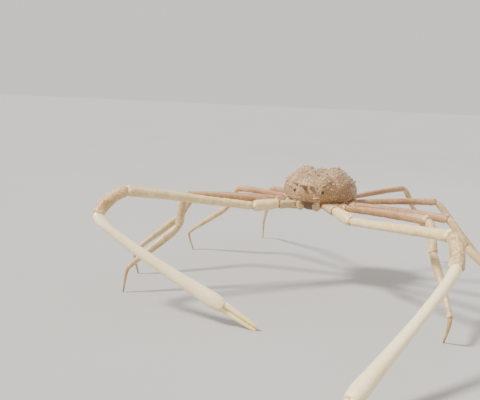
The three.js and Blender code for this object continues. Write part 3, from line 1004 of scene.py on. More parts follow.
@dataclass(frozen=True)
class Relief:
    """Swells and grains that are raised on a skin.

    The fine grains between the main ones are given as shares of these.
    """

    swell: float = 0.5
    swell_scale: float = 38.0
    grain: float = 0.42
    grain_scale: float = 7.5
    fill: float = 0.8
    fine_scale: float = 0.48
    fine_fill: float = 0.7
    fine_grain: float = 0.35
    fine_tip: float = 0.45
    wrinkle: float = 0.5
    wrinkle_scale: float = 3.0
    worn_from: float = 0.8
    worn_over: float = 3.6


def roughened(skin: Skin, relief: Relief, seed: int, raised: Array | None = None) -> Skin:
    """Moves a skin's points in and out along its normals and marks the grains.

    Args:
        skin: The bare skin.
        relief: Sizes of the swells and grains.
        seed: Picks the layout.
        raised: Further height at each point, such as spines or grooves.

    Returns:
        The detailed skin.
    """
    normals = skin.normals()
    membrane = skin.marks.get("membrane", np.zeros(len(skin.points)))
    bare = 1 - np.clip(membrane, 0, 1)
    dots = grains(skin.points, relief.grain_scale, seed, relief.fill) * bare
    fine = grains(skin.points, relief.grain_scale * relief.fine_scale, seed + 50, relief.fine_fill) * bare
    height = relief.grain * dots + relief.grain * relief.fine_grain * fine
    height += relief.swell * waves(skin.points, relief.swell_scale, seed + 90) * bare
    height += relief.wrinkle * membrane * waves(skin.points, relief.wrinkle_scale, seed + 120)
    tips = np.maximum(dots, fine * relief.fine_tip)
    if raised is not None:
        height += raised
        tips = np.maximum(tips, np.clip((raised - relief.worn_from) / relief.worn_over, 0, 1))
    moved = skin.points + normals * height[:, None]
    return Skin(moved, skin.faces, {**skin.marks, "grain": tips, "membrane": membrane})


# The crab's pieces


@dataclass
class Workshop:
    """Turns skins into pieces that ride on the frame."""

    shift: Array
    materials: dict[Region, bpy.types.Material]
    count: int = 0

    def place(self, skin: Skin, node: str, region: Region) -> None:
        """Adds a finished piece in the place of its CAD node.

        Args:
            skin: The detailed skin in the body's own frame.
            node: Name of the node that it replaces.
            region: The kind of surface.
        """
        points = skin.points + self.shift
        points[:, 2] = np.maximum(points[:, 2], 0.0)
        made = Skin(points, skin.faces, skin.marks).mesh(f"{node}_shell")
        made.materials.append(self.materials[region])
        piece = bpy.data.objects.new(f"{node}_shell", made)
        bpy.context.scene.collection.objects.link(piece)
        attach(piece, "root")
        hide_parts(node)
        self.count += len(made.polygons)
        log.info("%s: %d faces", piece.name, len(made.polygons))


@dataclass
class Joint:
    """Where a piece ends, the direction in which it ends and its level side."""

    point: Array
    leaving: Array
    right: Array


@dataclass(frozen=True)
class Knob:
    """A rounded swelling near the far end of a piece, in shares of the piece's radius."""

    inset: float
    radius: float
    height: float


KNUCKLE = Knob(0.22, 0.5, 0.1)
END_LOBE = Knob(0.3, 0.5, 0.36)
# Degrees round a piece at which its rows of larger grains stand, and the size of each row
EDGE_ROWS = {90: 1.0, 60: 0.72, 125: 0.72}
EDGE_RADIUS = 3.3
EDGE_HEIGHT = 1.7


@dataclass
class Link:
    """One piece of a limb."""

    node: str
    region: Region
    length: float
    swing: float
    rise: float
    radius: float
    profile: Rows
    flatness: float = 1.0
    yields: float = 0.3
    neck: float | None = None
    around: int = 44
    scallop: float = 2.6
    socket: float = SOCKET_DEPTH
    knuckles: bool = True
    edge_grains: int = 0
    edge_size: float = 1.0
    end_lobe: bool = False
    relief: Relief = Relief()


@dataclass
class Limb:
    """A chain of pieces from the hip outward."""

    side: Side
    hip: Array
    coxa_length: float
    coxa_radius: float
    swing: float
    rise: float
    seed: int

    def coxa(self, sink: float) -> Tube:
        """The coxa, from inside the underside to the first free joint.

        Args:
            sink: How far inside it starts.

        Returns:
            The coxa as a tube.
        """
        way = heading(self.side, self.swing, self.rise)
        right = right_of(self.side, self.swing)
        path = straight(self.hip - way * sink, self.hip + way * self.coxa_length)
        return Tube(path, self.coxa_radius, PROFILES["coxa"], right, right, plug=0, scallop=1.2)

    def grow(self, shop: Workshop, links: list[Link], after: tuple[float, float] | None = None) -> Joint:
        """Builds the pieces one after the other.

        Args:
            shop: Where the pieces go.
            links: The pieces from the hip outward.
            after: Swing and rise of what follows the last piece, if anything does.

        Returns:
            Where the last piece ends.
        """
        first = heading(self.side, self.swing, self.rise)
        joint = Joint(self.hip + first * self.coxa_length, first, right_of(self.side, self.swing))
        for index, link in enumerate(links):
            way = heading(self.side, link.swing, link.rise)
            if index + 1 < len(links):
                following = heading(self.side, links[index + 1].swing, links[index + 1].rise)
            else:
                following = heading(self.side, *after) if after else way
            arriving = unit(way * (1 - link.yields) + following * link.yields)
            point = joint.point + way * link.length
            neck = link.neck if link.neck is not None else link.radius * 1.8
            start = joint.point + joint.leaving * JOINT_GAP
            path = Path([start, start + joint.leaving * neck, point - arriving * neck, point])
            right = right_of(self.side, link.swing)
            tube = Tube(
                path, link.radius, link.profile, joint.right, right, link.flatness, link.around,
                scallop=link.scallop, socket=link.socket,
            )
            shop.place(self.dressed(tube, link, self.seed * 40 + index), link.node, link.region)
            joint = Joint(point, arriving, right)
        return joint

    def bumps(self, tube: Tube, link: Link, seed: int) -> list[tuple[Array, float, float]]:
        """Finds the places of a piece's knuckles, end lobe and larger grains.

        Args:
            tube: The bare tube.
            link: What the tube carries.
            seed: Picks the layout.

        Returns:
            The place, radius and height of each.
        """
        rng = np.random.default_rng(seed)
        spots = []
        knobs = [(KNUCKLE, 0), (KNUCKLE, 180)] if link.knuckles else []
        knobs += [(END_LOBE, 90)] if link.end_lobe else []
        for knob, angle in knobs:
            inset = knob.inset * link.radius / tube.path.length
            place = tube.place(1 - inset, angle)
            spots.append((place, link.radius * knob.radius, link.radius * knob.height))
        for k in range(link.edge_grains):
            t = 0.06 + 0.88 * (k + rng.uniform(0.15, 0.85)) / link.edge_grains
            for angle, share in EDGE_ROWS.items():
                size = rng.uniform(0.6, 1.1) * share
                place = tube.place(t + rng.uniform(-0.012, 0.012), angle + rng.uniform(-9, 9))
                size *= link.edge_size
                spots.append((place, EDGE_RADIUS * size, EDGE_HEIGHT * size))
        return spots

    def dressed(self, tube: Tube, link: Link, seed: int) -> Skin:
        """Raises the knuckles, the rows of larger grains and the lobe over the end.

        Args:
            tube: The bare tube.
            link: What the tube carries.
            seed: Picks the layout.

        Returns:
            The detailed skin.
        """
        skin = tube.skin()
        spots = self.bumps(tube, link, seed)
        raised = None
        if spots:
            centres, radii, heights = (np.array(column) for column in zip(*spots))
            raised = hills(skin.points, centres, radii, heights)
            raised *= 1 - np.clip(skin.marks["membrane"], 0, 1)
        return roughened(skin, link.relief, seed, raised)


PROFILES: dict[str, Rows] = {
    "spine": [(0, 1.0), (0.35, 0.78), (0.7, 0.42), (0.9, 0.22), (1, 0.1)],
    "coxa": [(0, 0.9), (0.5, 0.98), (0.9, 1), (1, 0.86)],
    "ischium": [(0, 0.72), (0.14, 0.86), (0.5, 0.94), (0.86, 1), (1, 0.84)],
    "claw_ischium": [(0, 0.82), (0.1, 1.04), (0.45, 1.16), (0.8, 1.22), (0.94, 1.1), (1, 0.86)],
    "merus": [
        (0, 0.68), (0.035, 0.8), (0.12, 0.8), (0.35, 0.87), (0.65, 0.93), (0.9, 1), (0.965, 1.06), (1, 0.86),
    ],
    "carpus": [(0, 0.72), (0.08, 0.86), (0.3, 0.94), (0.6, 0.97), (0.86, 0.99), (0.96, 0.93), (1, 0.8)],
    "propodus": [
        (0, 0.74), (0.05, 0.88), (0.18, 0.94), (0.42, 0.88), (0.72, 0.7), (0.93, 0.57), (0.98, 0.58),
        (1, 0.46),
    ],
    "dactyl": [(0, 0.36), (0.06, 0.43), (0.2, 0.4), (0.5, 0.32), (0.8, 0.22), (1, 0.15)],
    "claw_merus": [
        (0, 0.72), (0.03, 0.88), (0.12, 0.84), (0.35, 0.86), (0.65, 0.93), (0.9, 1), (0.97, 1.08), (1, 0.88),
    ],
    "claw_carpus": [(0, 0.7), (0.08, 0.86), (0.35, 0.95), (0.65, 1), (0.86, 1), (0.96, 0.93), (1, 0.8)],
    "palm": [
        (0, 0.64), (0.02, 0.72), (0.06, 0.74), (0.14, 0.66), (0.35, 0.61), (0.65, 0.72), (0.84, 0.88),
        (0.92, 0.96), (0.965, 0.9), (1, 0.74),
    ],
    "finger": [(0, 0.35), (0.06, 0.36), (0.33, 0.31), (0.65, 0.265), (0.88, 0.225), (0.965, 0.19), (1, 0.12)],
    "maxilliped": [(0, 0.2), (0.08, 0.62), (0.3, 0.94), (0.6, 1), (0.85, 0.8), (0.97, 0.45), (1, 0.15)],
    "abdomen": [
        (0, 0.86), (0.1, 0.98), (0.3, 1), (0.32, 0.95), (0.5, 0.86), (0.52, 0.81), (0.7, 0.68), (0.9, 0.48),
        (1, 0.22),
    ],
    "eye": [(0, 0.62), (0.35, 0.6), (0.55, 0.72), (0.72, 1), (0.88, 0.86), (0.97, 0.45), (1, 0.15)],
    "antenna": [(0, 1), (0.12, 1.05), (0.16, 0.62), (0.27, 0.64), (0.3, 0.36), (0.6, 0.27), (1, 0.16)],
}


def body_point(side: Side, out: float, forward: float, above: float) -> Array:
    """A point from a place out, forward and above the carapace centre."""
    return np.array([side.value * out, -forward, BODY_HEIGHT + above])


@dataclass(frozen=True)
class LegStance:
    """Degrees of one walking leg's pieces."""

    swing: float
    hip_rise: float
    merus_rise: float
    lower_swing: float
    carpus_rise: float
    dactyl_rise: float


@dataclass
class WalkingLeg:
    """One of the eight legs that carry the crab."""

    pair: int
    side: Side
    hip: tuple[float, float, float]
    ischium: float
    merus: float
    carpus: float
    propodus: float
    dactyl: float
    thick: float
    stance: LegStance
    coxa_share: float = 0.42
    coxa_thick: float = 0.525
    fine: Relief = Relief(swell=0.9, swell_scale=26, grain=0.42, grain_scale=6.2)
    smooth: Relief = Relief(swell=0.2, grain=0.16, grain_scale=5.0, fill=0.5)

    def limb(self) -> Limb:
        """The chain that this leg hangs on."""
        return Limb(
            self.side, body_point(self.side, *self.hip), self.ischium * self.coxa_share,
            self.thick * self.coxa_thick, self.stance.swing, self.stance.hip_rise,
            self.pair * 2 + self.side.value,
        )

    def foot_slope(self) -> float:
        """Rise of the propodus that sets the foot on the floor."""
        rises = [
            (self.ischium, self.stance.hip_rise),
            (self.merus, self.stance.merus_rise),
            (self.carpus, self.stance.carpus_rise),
            (self.dactyl, self.stance.dactyl_rise),
        ]
        risen = sum(length * np.sin(np.radians(rise)) for length, rise in rises)
        left = BODY_HEIGHT + self.hip[2] + risen
        return -float(np.degrees(np.arcsin((left + TIP_SINK) / self.propodus)))

    def link(
        self, piece: str, region: Region, length: float, swing: float, rise: float, **looks: object
    ) -> Link:
        """One piece of the leg.

        Args:
            piece: Its name, which is its profile's too.
            region: The kind of its surface.
            length: Its length.
            swing: Its swing from straight ahead.
            rise: Its rise above the level.
            looks: Further fields of the link.

        Returns:
            The link.
        """
        node = f"leg_{self.pair}_{self.side.word}_{piece}"
        fields = {"radius": self.thick / 2, "relief": self.fine, **looks}
        return Link(node, region, length, swing, rise, profile=PROFILES[piece], **fields)

    def build(self, shop: Workshop) -> None:
        """Makes the leg's five free pieces."""
        pose, low = self.stance, self.stance.lower_swing
        free = self.ischium * (1 - self.coxa_share)
        neck = self.thick / 2 * 0.95
        self.limb().grow(shop, [
            self.link("ischium", Region.LEG, free, pose.swing, pose.hip_rise, radius=neck, neck=8),
            self.link("merus", Region.LEG, self.merus, pose.swing, pose.merus_rise, flatness=0.88,
                      edge_grains=int(self.merus / 15), end_lobe=True),
            self.link("carpus", Region.SHIN, self.carpus, low, pose.carpus_rise, flatness=0.92,
                      edge_grains=8),
            self.link("propodus", Region.SHIN, self.propodus, low, self.foot_slope(), flatness=0.86,
                      edge_grains=14),
            self.link("dactyl", Region.FOOT, self.dactyl, low, pose.dactyl_rise, neck=24, around=28,
                      scallop=0, socket=0, knuckles=False, relief=self.smooth),
        ])


@dataclass(frozen=True)
class ClawStance:
    """Degrees of one claw arm's pieces."""

    swing: float
    ischium_rise: float
    merus_rise: float
    carpus_swing: float
    carpus_rise: float
    palm_swing: float
    roll: float


@dataclass(frozen=True)
class Finger:
    """Where a finger starts and stops.

    The offsets run from the palm's middle line towards the movable finger, as shares of the
    palm's radius. Back is how far past the palm's end the finger starts, and shorten how far
    short of the tip it stops.
    """

    offset: float
    tip_offset: float
    back: float
    shorten: float


@dataclass
class Claw:
    """One long claw arm."""

    side: Side
    stance: ClawStance
    hip: tuple[float, float, float] = (75, 125, -36)
    ischium: float = 188
    merus: float = 537
    carpus: float = 155
    palm: float = 595
    finger: float = 145
    merus_thick: float = 40
    carpus_thick: float = 49
    palm_thick: float = 64
    coxa_share: float = 0.36
    coxa_thick: float = 0.61
    wrist_lean: float = -28
    tip_level: float = 0.5
    fixed: Finger = Finger(-0.35, 0.0, -20, 0)
    movable: Finger = Finger(0.39, 0.47, JOINT_GAP - 4, 5)
    knob_back: float = 8
    knob_radius: float = 13.0
    knob_height: float = 2.0
    coarse: Relief = Relief(swell=1.5, swell_scale=30, grain=0.55, grain_scale=8.0)
    smooth: Relief = Relief(swell=0.9, swell_scale=60, grain=0.42, grain_scale=8.5, fill=0.7)

    @property
    def name(self) -> str:
        """Start of the names of the claw's nodes."""
        return f"claw_{self.side.word}"

    def limb(self) -> Limb:
        """The chain that this arm hangs on."""
        return Limb(
            self.side, body_point(self.side, *self.hip), self.ischium * self.coxa_share,
            self.merus_thick * self.coxa_thick, self.stance.swing, self.stance.ischium_rise,
            SEEDS["claw"] + self.side.value,
        )

    def build(self, shop: Workshop) -> None:
        """Makes the arm, the palm with its fixed finger and the movable finger."""
        name, pose, radius = self.name, self.stance, self.merus_thick / 2
        free = self.ischium * (1 - self.coxa_share)
        links = [
            Link(f"{name}_ischium", Region.ARM, free, pose.swing, pose.ischium_rise, radius,
                 PROFILES["claw_ischium"], yields=0.5, neck=26, around=56, relief=self.coarse),
            Link(f"{name}_merus", Region.ARM, self.merus, pose.swing, pose.merus_rise, radius,
                 PROFILES["claw_merus"], around=56, edge_grains=34, end_lobe=True, relief=self.coarse),
            Link(f"{name}_carpus", Region.WRIST, self.carpus, pose.carpus_swing, pose.carpus_rise,
                 self.carpus_thick / 2, PROFILES["claw_carpus"], yields=0.45, around=60, edge_grains=12,
                 edge_size=1.9, relief=self.coarse),
        ]
        self.build_hand(shop, self.limb().grow(shop, links, after=(pose.palm_swing, self.wrist_lean)))

    def build_hand(self, shop: Workshop, wrist: Joint) -> None:
        """Makes the palm and both fingers.

        Args:
            shop: Where the pieces go.
            wrist: Where the carpus ends.
        """
        radius = self.palm_thick / 2
        reach = self.palm + self.finger
        rise = -float(np.degrees(np.arcsin(wrist.point[2] / reach)))
        along = heading(self.side, self.stance.palm_swing, rise)
        right = rotated(right_of(self.side, self.stance.palm_swing), along, self.stance.roll)
        end = wrist.point + along * self.palm
        start = wrist.point + wrist.leaving * JOINT_GAP
        path = Path([start, start + wrist.leaving * radius * 2, end - along * radius * 2, end])
        body = Tube(path, radius, PROFILES["palm"], wrist.right, right, flatness=0.84, around=64, socket=0)
        tip = wrist.point + along * reach
        tip[2] = self.tip_level
        fixed, movable = (
            self.finger_tube(end, tip, along, right, finger).skin() for finger in (self.fixed, self.movable)
        )
        neck = (start - wrist.leaving * PLUG, radius * 0.55, radius * 0.75)
        hinge = (end + np.cross(right, along) * radius * 0.4, 4.0, radius * 0.3)
        knobs = np.array([end + right * radius * 0.5, end - right * radius * 0.5]) - along * self.knob_back
        sizes = np.full(2, self.knob_radius), np.full(2, self.knob_height)
        hand = (("palm", body.skin().joined(fixed), neck), ("finger", movable, hinge))
        for node, skin, (centre, stained, clean) in hand:
            fused = skin.fused(VOXELS[node])
            run = (fused.points - start) @ along / reach
            stain_and_shade = 1 - ease(np.linalg.norm(fused.points - centre, axis=1), stained, clean)
            fused.marks = {"along": np.clip(run, 0, 1), "membrane": stain_and_shade}
            raised = hills(fused.points, knobs, *sizes) if node == "palm" else None
            made = roughened(fused, self.smooth, SEEDS[node] + self.side.value, raised)
            shop.place(made, f"{self.name}_{node}", Region.PALM)

    def finger_tube(self, end: Array, tip: Array, along: Array, right: Array, finger: Finger) -> Tube:
        """A finger that starts beside the other and closes on it towards the tip.

        Args:
            end: Middle of the palm's far end.
            tip: Where the fixed finger ends.
            along: Direction of the palm.
            right: Direction across the palm.
            finger: Where it starts and stops.

        Returns:
            The finger as a tube.
        """
        radius = self.palm_thick / 2
        over = np.cross(right, along)
        start = end + over * finger.offset * radius + along * finger.back
        stop = tip + over * finger.tip_offset * radius - along * finger.shorten
        path = Path([start, start + along * self.finger * 0.3, start * 0.3 + stop * 0.7, stop])
        return plain_tube(path, radius, "finger", right, flatness=0.85, around=40)


@dataclass
class Carapace:
    """The back shell with its swellings, grooves, spines and tubercles."""

    stations: list[tuple[float, float, float]] = field(default_factory=lambda: [
        (-0.5, 0.02, 0.02), (-0.485, 0.36, 0.3), (-0.43, 0.64, 0.56), (-0.33, 0.87, 0.82), (-0.17, 1.0, 0.98),
        (0.0, 0.96, 1.0), (0.15, 0.8, 0.94), (0.28, 0.58, 0.77), (0.39, 0.43, 0.58), (0.46, 0.34, 0.44),
        (0.495, 0.2, 0.24), (0.5, 0.02, 0.02),
    ])
    regions: dict[str, tuple[float, float, float, float]] = field(default_factory=lambda: {
        "gastric": (60, 0, 10, 44),
        "cardiac": (-48, 0, 3, 24),
        "intestinal": (-112, 0, 5, 24),
        "branchial": (-58, 68, 21, 54),
        "fore_branchial": (10, 90, 9, 28),
        "hepatic": (92, 60, 9, 22),
        "orbit": (142, 40, -8, 15),
    })
    spines: dict[str, tuple[float, float, float, float, float, float]] = field(default_factory=lambda: {
        "rostral_horn": (156, 13, 46, 10, 1.6, 0.5),
        "over_eye": (146, 33, 17, 6, 0.9, 0.5),
        "behind_eye": (124, 56, 27, 8, 0.8, 0.9),
        "liver": (98, 88, 16, 7, 0.4, 0.9),
        "fore_flank": (48, 122, 13, 7, 0.2, 0.9),
        "mid_flank": (-12, 146, 15, 7, 0, 1),
        "rear_flank": (-76, 146, 14, 7, -0.4, 0.9),
        "gastric_pair": (82, 20, 12, 7, 0.2, 0.1),
        "gastric_side": (50, 48, 11, 7, 0.1, 0.2),
        "branchial_top": (-40, 80, 12, 7, 0, 0.2),
        "branchial_rear": (-96, 84, 11, 7, -0.2, 0.3),
    })
    middle_spines: tuple[float, ...] = (58, 26, -30, -62, -112)
    middle_spine: tuple[float, float, float] = (10, 7, 6)
    groove_depth: float = 9
    groove_width: float = 10
    groove_out: float = 30
    groove_ends: tuple[float, float] = (-105, 22)
    neck_slant: float = 0.62
    tubercle_gap: float = 15.0
    tubercle_shake: float = 0.42
    tubercle_radius: tuple[float, float] = (3.4, 4.2)
    tubercle_height: tuple[float, float] = (1.2, 5.2)
    relief: Relief = Relief(swell=0.8, swell_scale=30, grain=0.7, grain_scale=6.5, fill=0.75)

    def half_width(self, forward: Array) -> Array:
        """Half width of the shell at places forward of its centre."""
        rows = [(f * CARAPACE_LENGTH, w * CARAPACE_WIDTH / 2) for f, w, _ in self.stations]
        return smooth_table(rows, forward)

    def grooves(self, forward: Array, out: Array) -> Array:
        """Depth of the grooves that part the regions.

        Args:
            forward: Places forward of the shell's centre.
            out: Places out to either side.

        Returns:
            The depth at each place.
        """
        away = np.abs(out)
        rear, front = self.groove_ends
        inside = ease(forward, rear - 15, rear + 15) * (1 - ease(forward, front - 5, front + 15))
        long = inside * ridge(away, self.groove_out, self.groove_width)
        line = front + (away - self.groove_out) * self.neck_slant
        outward = ease(away, self.groove_out - 14, self.groove_out + 6)
        neck = outward * ridge(forward, line, self.groove_width)
        return self.groove_depth * np.maximum(long, neck)

    def level(self, forward: Array, out: Array) -> Array:
        """Level of the back above the carapace centre.

        Args:
            forward: Places forward of the shell's centre.
            out: Places out to either side.

        Returns:
            The level at each place.
        """
        forward, out = np.asarray(forward, float), np.asarray(out, float)
        width = np.maximum(self.half_width(forward), 1)
        rim = np.sqrt(np.maximum(1 - np.minimum(np.abs(out) / width, 1) ** 3, 0))
        rows = [(f * CARAPACE_LENGTH, h * DOME_HEIGHT) for f, _, h in self.stations]
        dome = smooth_table(rows, forward)
        relief = -self.grooves(forward, out)
        for ahead, aside, rise, spread in self.regions.values():
            away = (forward - ahead) ** 2 + (np.abs(out) - aside) ** 2
            relief = relief + rise * np.exp(-away / spread**2)
        return dome * rim + relief * np.minimum(1, rim * 1.6)

    def on_back(self, forward: float, out: float) -> tuple[Array, Array]:
        """A point of the back.

        Args:
            forward: How far forward of the shell's centre it is.
            out: How far out to the crab's left.

        Returns:
            The point and the direction that the back faces there.
        """
        step = 2.0
        ahead = (self.level(forward + step, out) - self.level(forward - step, out)) / (2 * step)
        aside = (self.level(forward, out + step) - self.level(forward, out - step)) / (2 * step)
        point = np.array([out, -forward, BODY_HEIGHT + float(self.level(forward, out))])
        return point, unit(np.array([-float(aside), float(ahead), 1.0]))

    def loft(
        self, width_share: float, top: float, depth: float, rings: int = 150, around: int = 200
    ) -> Skin:
        """Cross-sections of the body from the back edge to the front.

        Args:
            width_share: Width as a share of the shell's.
            top: Height above the rim as a share of the back's.
            depth: How far it reaches below the rim.
            rings: Number of cross-sections.
            around: Points in each.

        Returns:
            The closed skin.
        """
        t = (np.arange(1, rings) / rings)[:, None]
        angle = -(np.arange(around) / around * 2 * np.pi)[None, :]
        half = CARAPACE_LENGTH / 2
        forward = -np.cos(t * np.pi) * half + 0 * angle
        across = np.sign(np.cos(angle)) * np.abs(np.cos(angle)) ** 0.9
        whole = across * self.half_width(forward.ravel()).reshape(forward.shape)
        deep = depth * np.sqrt(np.maximum(0, 1 - (forward / half) ** 4))
        upper = top * self.level(forward.ravel(), whole.ravel()).reshape(forward.shape)
        level = np.where(np.sin(angle) >= 0, upper, np.sin(angle) * deep)
        grid = np.stack([whole * width_share, -forward, BODY_HEIGHT + level], axis=-1).reshape(-1, 3)
        ends = np.array([[0, half, BODY_HEIGHT], [0, -half, BODY_HEIGHT]])
        return Skin(np.vstack([grid, ends]), ring_faces(rings - 1, around))

    def spine_skins(self) -> list[Skin]:
        """All spines of the back, with their roots sunk in it."""
        made = []
        for forward, out, length, radius, ahead, outward in self.spines.values():
            for side in Side:
                point, facing = self.on_back(forward, side.value * out)
                lean = unit(facing + np.array([side.value * outward, -ahead, 0]))
                made.append(cone_skin(point, lean, length, radius, radius * 1.2))
        for forward in self.middle_spines:
            point, facing = self.on_back(forward, 0)
            made.append(cone_skin(point, facing, *self.middle_spine))
        return made

    def tubercles(self) -> tuple[Array, Array, Array]:
        """Centres, radii and heights of the tubercles between the spines."""
        rng = np.random.default_rng(SEEDS["carapace"])
        centres, sizes = [], []
        gap, shake = self.tubercle_gap, self.tubercle_shake
        for forward in np.arange(-160, 160, gap):
            for out in np.arange(-165, 166, gap):
                f = forward + rng.uniform(-shake, shake) * gap
                x = out + rng.uniform(-shake, shake) * gap
                size = rng.uniform(0.2, 1.0) ** 1.5
                if abs(x) > float(self.half_width(np.array([f]))[0]) * 0.97:
                    continue
                centres.append(self.on_back(f, x)[0])
                sizes.append(size)
        radii, heights = (
            least + growth * np.array(sizes) for least, growth in (self.tubercle_radius, self.tubercle_height)
        )
        return np.array(centres), radii, heights

    def build(self, shop: Workshop) -> None:
        """Makes the back shell."""
        skin = self.loft(1.0, 1.0, UNDER_DEPTH)
        skin.points[:, 2] = np.maximum(skin.points[:, 2], BODY_HEIGHT + SHELL_EDGE)
        fused = skin.joined(*self.spine_skins()).fused(VOXELS["carapace"])
        raised = hills(fused.points, *self.tubercles(), peak=1.5)
        fused.marks = {"along": np.clip(fused.points[:, 1] / CARAPACE_LENGTH + 0.5, 0, 1)}
        shop.place(roughened(fused, self.relief, SEEDS["carapace"], raised), "carapace", Region.BACK)


@dataclass
class Underside:
    """The keel that carries the legs, with the folded abdomen below it.

    Pairs of numbers are the places where a mark starts and where it is complete.
    """

    shape: Carapace
    coxae: list[Tube]
    width_share: float = 0.74
    grooves: tuple[float, ...] = (100, 50, -7, -62)
    groove_slant: float = 0.25
    groove_width: float = 3.5
    groove_depth: float = 2.2
    # Share of the membrane colour laid as painted shade in the sternum grooves
    groove_stain: float = 0.35
    groove_inner: tuple[float, float] = (24, 40)
    groove_outer: tuple[float, float] = (95, 120)
    # Where the painted shade over the mouth, between the plates, starts and is complete, forward and out
    mouth_forward: tuple[float, float] = (100, 125)
    mouth_shade_out: tuple[float, float] = (42, 58)
    relief: Relief = Relief(swell=0.6, grain=0.35, grain_scale=7)
    abdomen_radius: float = 36
    abdomen_flatness: float = 0.36
    abdomen_rear: float = -166
    abdomen_drop: float = -22
    abdomen_front: float = 18
    abdomen_relief: Relief = Relief(swell=0.5, grain=0.3)
    segments: float = 6.5
    seam_width: float = 0.008
    seam_depth: float = 1.6

    def build(self, shop: Workshop) -> None:
        """Makes the underside and the abdomen."""
        keel = self.shape.loft(self.width_share, 0.2, STERNUM_DEPTH, 90, 120)
        fused = keel.joined(*(tube.skin() for tube in self.coxae)).fused(VOXELS["thorax"])
        top = BODY_HEIGHT + SHELL_EDGE - JOINT_GAP
        fused.points[:, 2] = np.minimum(fused.points[:, 2], top)
        forward, out = -fused.points[:, 1], np.abs(fused.points[:, 0])
        lines = np.zeros(len(forward))
        for place in self.grooves:
            line = place * (1 + self.groove_slant * out / 100)
            lines = np.maximum(lines, ridge(forward, line, self.groove_width) * ease(out, *self.groove_inner))
        lines = lines * ((fused.points[:, 2] < top - 2) * (1 - ease(out, *self.groove_outer)))
        # Painted shade over the mouth region between the plates
        mouth = ease(forward, *self.mouth_forward) * (1 - ease(out, *self.mouth_shade_out))
        # Painted shade: the sternum grooves take a share of the membrane colour and the mouth region takes
        # all of it
        stain_and_shade = np.maximum(self.groove_stain * lines, mouth)
        fused.marks = {"along": np.clip(out / 120, 0, 1), "membrane": stain_and_shade}
        carved = roughened(fused, self.relief, SEEDS["thorax"], -self.groove_depth * lines)
        carved.points[:, 2] = np.minimum(carved.points[:, 2], top)
        shop.place(carved, "thorax", Region.UNDERSIDE)
        self.build_abdomen(shop)

    def build_abdomen(self, shop: Workshop) -> None:
        """Makes the narrow abdomen, folded from the back edge forward."""
        depth = -STERNUM_DEPTH
        rear = self.abdomen_rear
        path = Path([
            body_point(Side.LEFT, 0, rear, self.abdomen_drop),
            body_point(Side.LEFT, 0, rear - 6, depth),
            body_point(Side.LEFT, 0, rear * 0.6, depth + 2),
            body_point(Side.LEFT, 0, self.abdomen_front, depth + 8),
        ])
        tube = Tube(
            path, self.abdomen_radius, PROFILES["abdomen"], unit(np.array([0, -1, 0.2])), UP,
            flatness=self.abdomen_flatness, around=72, plug=0, socket=0,
        )
        skin = tube.skin()
        along = skin.marks["along"]
        seams = sum(ridge(along, k / self.segments, self.seam_width) for k in range(1, 7))
        made = roughened(skin, self.abdomen_relief, SEEDS["abdomen"], -self.seam_depth * seams)
        shop.place(made, "abdomen", Region.UNDERSIDE)


@dataclass
class Head:
    """Eyes, antennae and the plates over the mouth, on one side.

    Places are out, forward and above the carapace centre, and the antenna's run is out, back
    and up from its root.
    """

    side: Side
    eye_root: tuple[float, float, float] = (46, 136, 17)
    eye_swing: float = 56
    eye_rise: float = 14
    eye_radius: float = 7.5
    eye_sink: float = 8
    eye_reach: float = 26
    antenna_root: tuple[float, float, float] = (24, 142, -8)
    antenna_run: tuple[tuple[float, float, float], ...] = ((4, -30.1, 2), (22, -68.8, 12), (46, -86.0, 18))
    antenna_radius: float = 5
    antenna_swing: float = 10
    ring_height: float = 0.25
    ring_turns: float = 260
    plate_low: tuple[float, float, float] = (37, 136, -64)
    plate_high: tuple[float, float, float] = (32, 152, -18)
    plate_radius: float = 18
    plate_flatness: float = 0.55
    plate_seam_depth: float = 1.4
    plain: Relief = Relief(swell=0.1, swell_scale=12, grain=0.12, grain_scale=3.0)
    plate: Relief = Relief(swell=0.4, swell_scale=16, grain=0.4, grain_scale=4.5)

    def build(self, shop: Workshop) -> None:
        """Makes the three pieces."""
        word = self.side.word
        eye = roughened(self.eye(), replace(self.plain, grain=0.0), SEEDS["eye"])
        shop.place(eye, f"eye_{word}", Region.EYE)
        antenna = self.antenna()
        along = antenna.marks["along"]
        rings = np.where(along > 0.3, self.ring_height * np.cos(along * self.ring_turns), 0)
        ringed = roughened(antenna, replace(self.plain, grain=0.1), SEEDS["antenna"], rings)
        shop.place(ringed, f"antenna_{word}", Region.ARM)
        plate = self.maxilliped()
        along = plate.marks["along"]
        seams = ridge(along, 0.42, 0.025) + 0.7 * ridge(along, 0.78, 0.02)
        seamed = roughened(plate, self.plate, SEEDS["maxilliped"], -self.plate_seam_depth * seams)
        shop.place(seamed, f"maxilliped_{word}", Region.UNDERSIDE)

    def eye(self) -> Skin:
        """A short stalk that widens to the cornea."""
        root = body_point(self.side, *self.eye_root)
        way = heading(self.side, self.eye_swing, self.eye_rise)
        path = straight(root - way * self.eye_sink, root + way * self.eye_reach)
        right = right_of(self.side, self.eye_swing)
        return plain_tube(path, self.eye_radius, "eye", right, around=36, spacing=0.8).skin()

    def antenna(self) -> Skin:
        """A short antenna that sweeps forward and outward beside the rostrum."""
        root = body_point(self.side, *self.antenna_root)
        mirror = np.array([self.side.value, 1, 1])
        path = Path([root, *(root + mirror * np.array(step) for step in self.antenna_run)])
        right = right_of(self.side, self.antenna_swing)
        return plain_tube(path, self.antenna_radius, "antenna", right, around=20, spacing=0.8).skin()

    def maxilliped(self) -> Skin:
        """A flat plate that covers half of the mouth."""
        low, high = (body_point(self.side, *place) for place in (self.plate_low, self.plate_high))
        right = np.array([0.0, 1.0, 0.0])
        sizes = {"flatness": self.plate_flatness, "around": 56, "spacing": 0.9}
        return plain_tube(straight(low, high), self.plate_radius, "maxilliped", right, **sizes).skin()


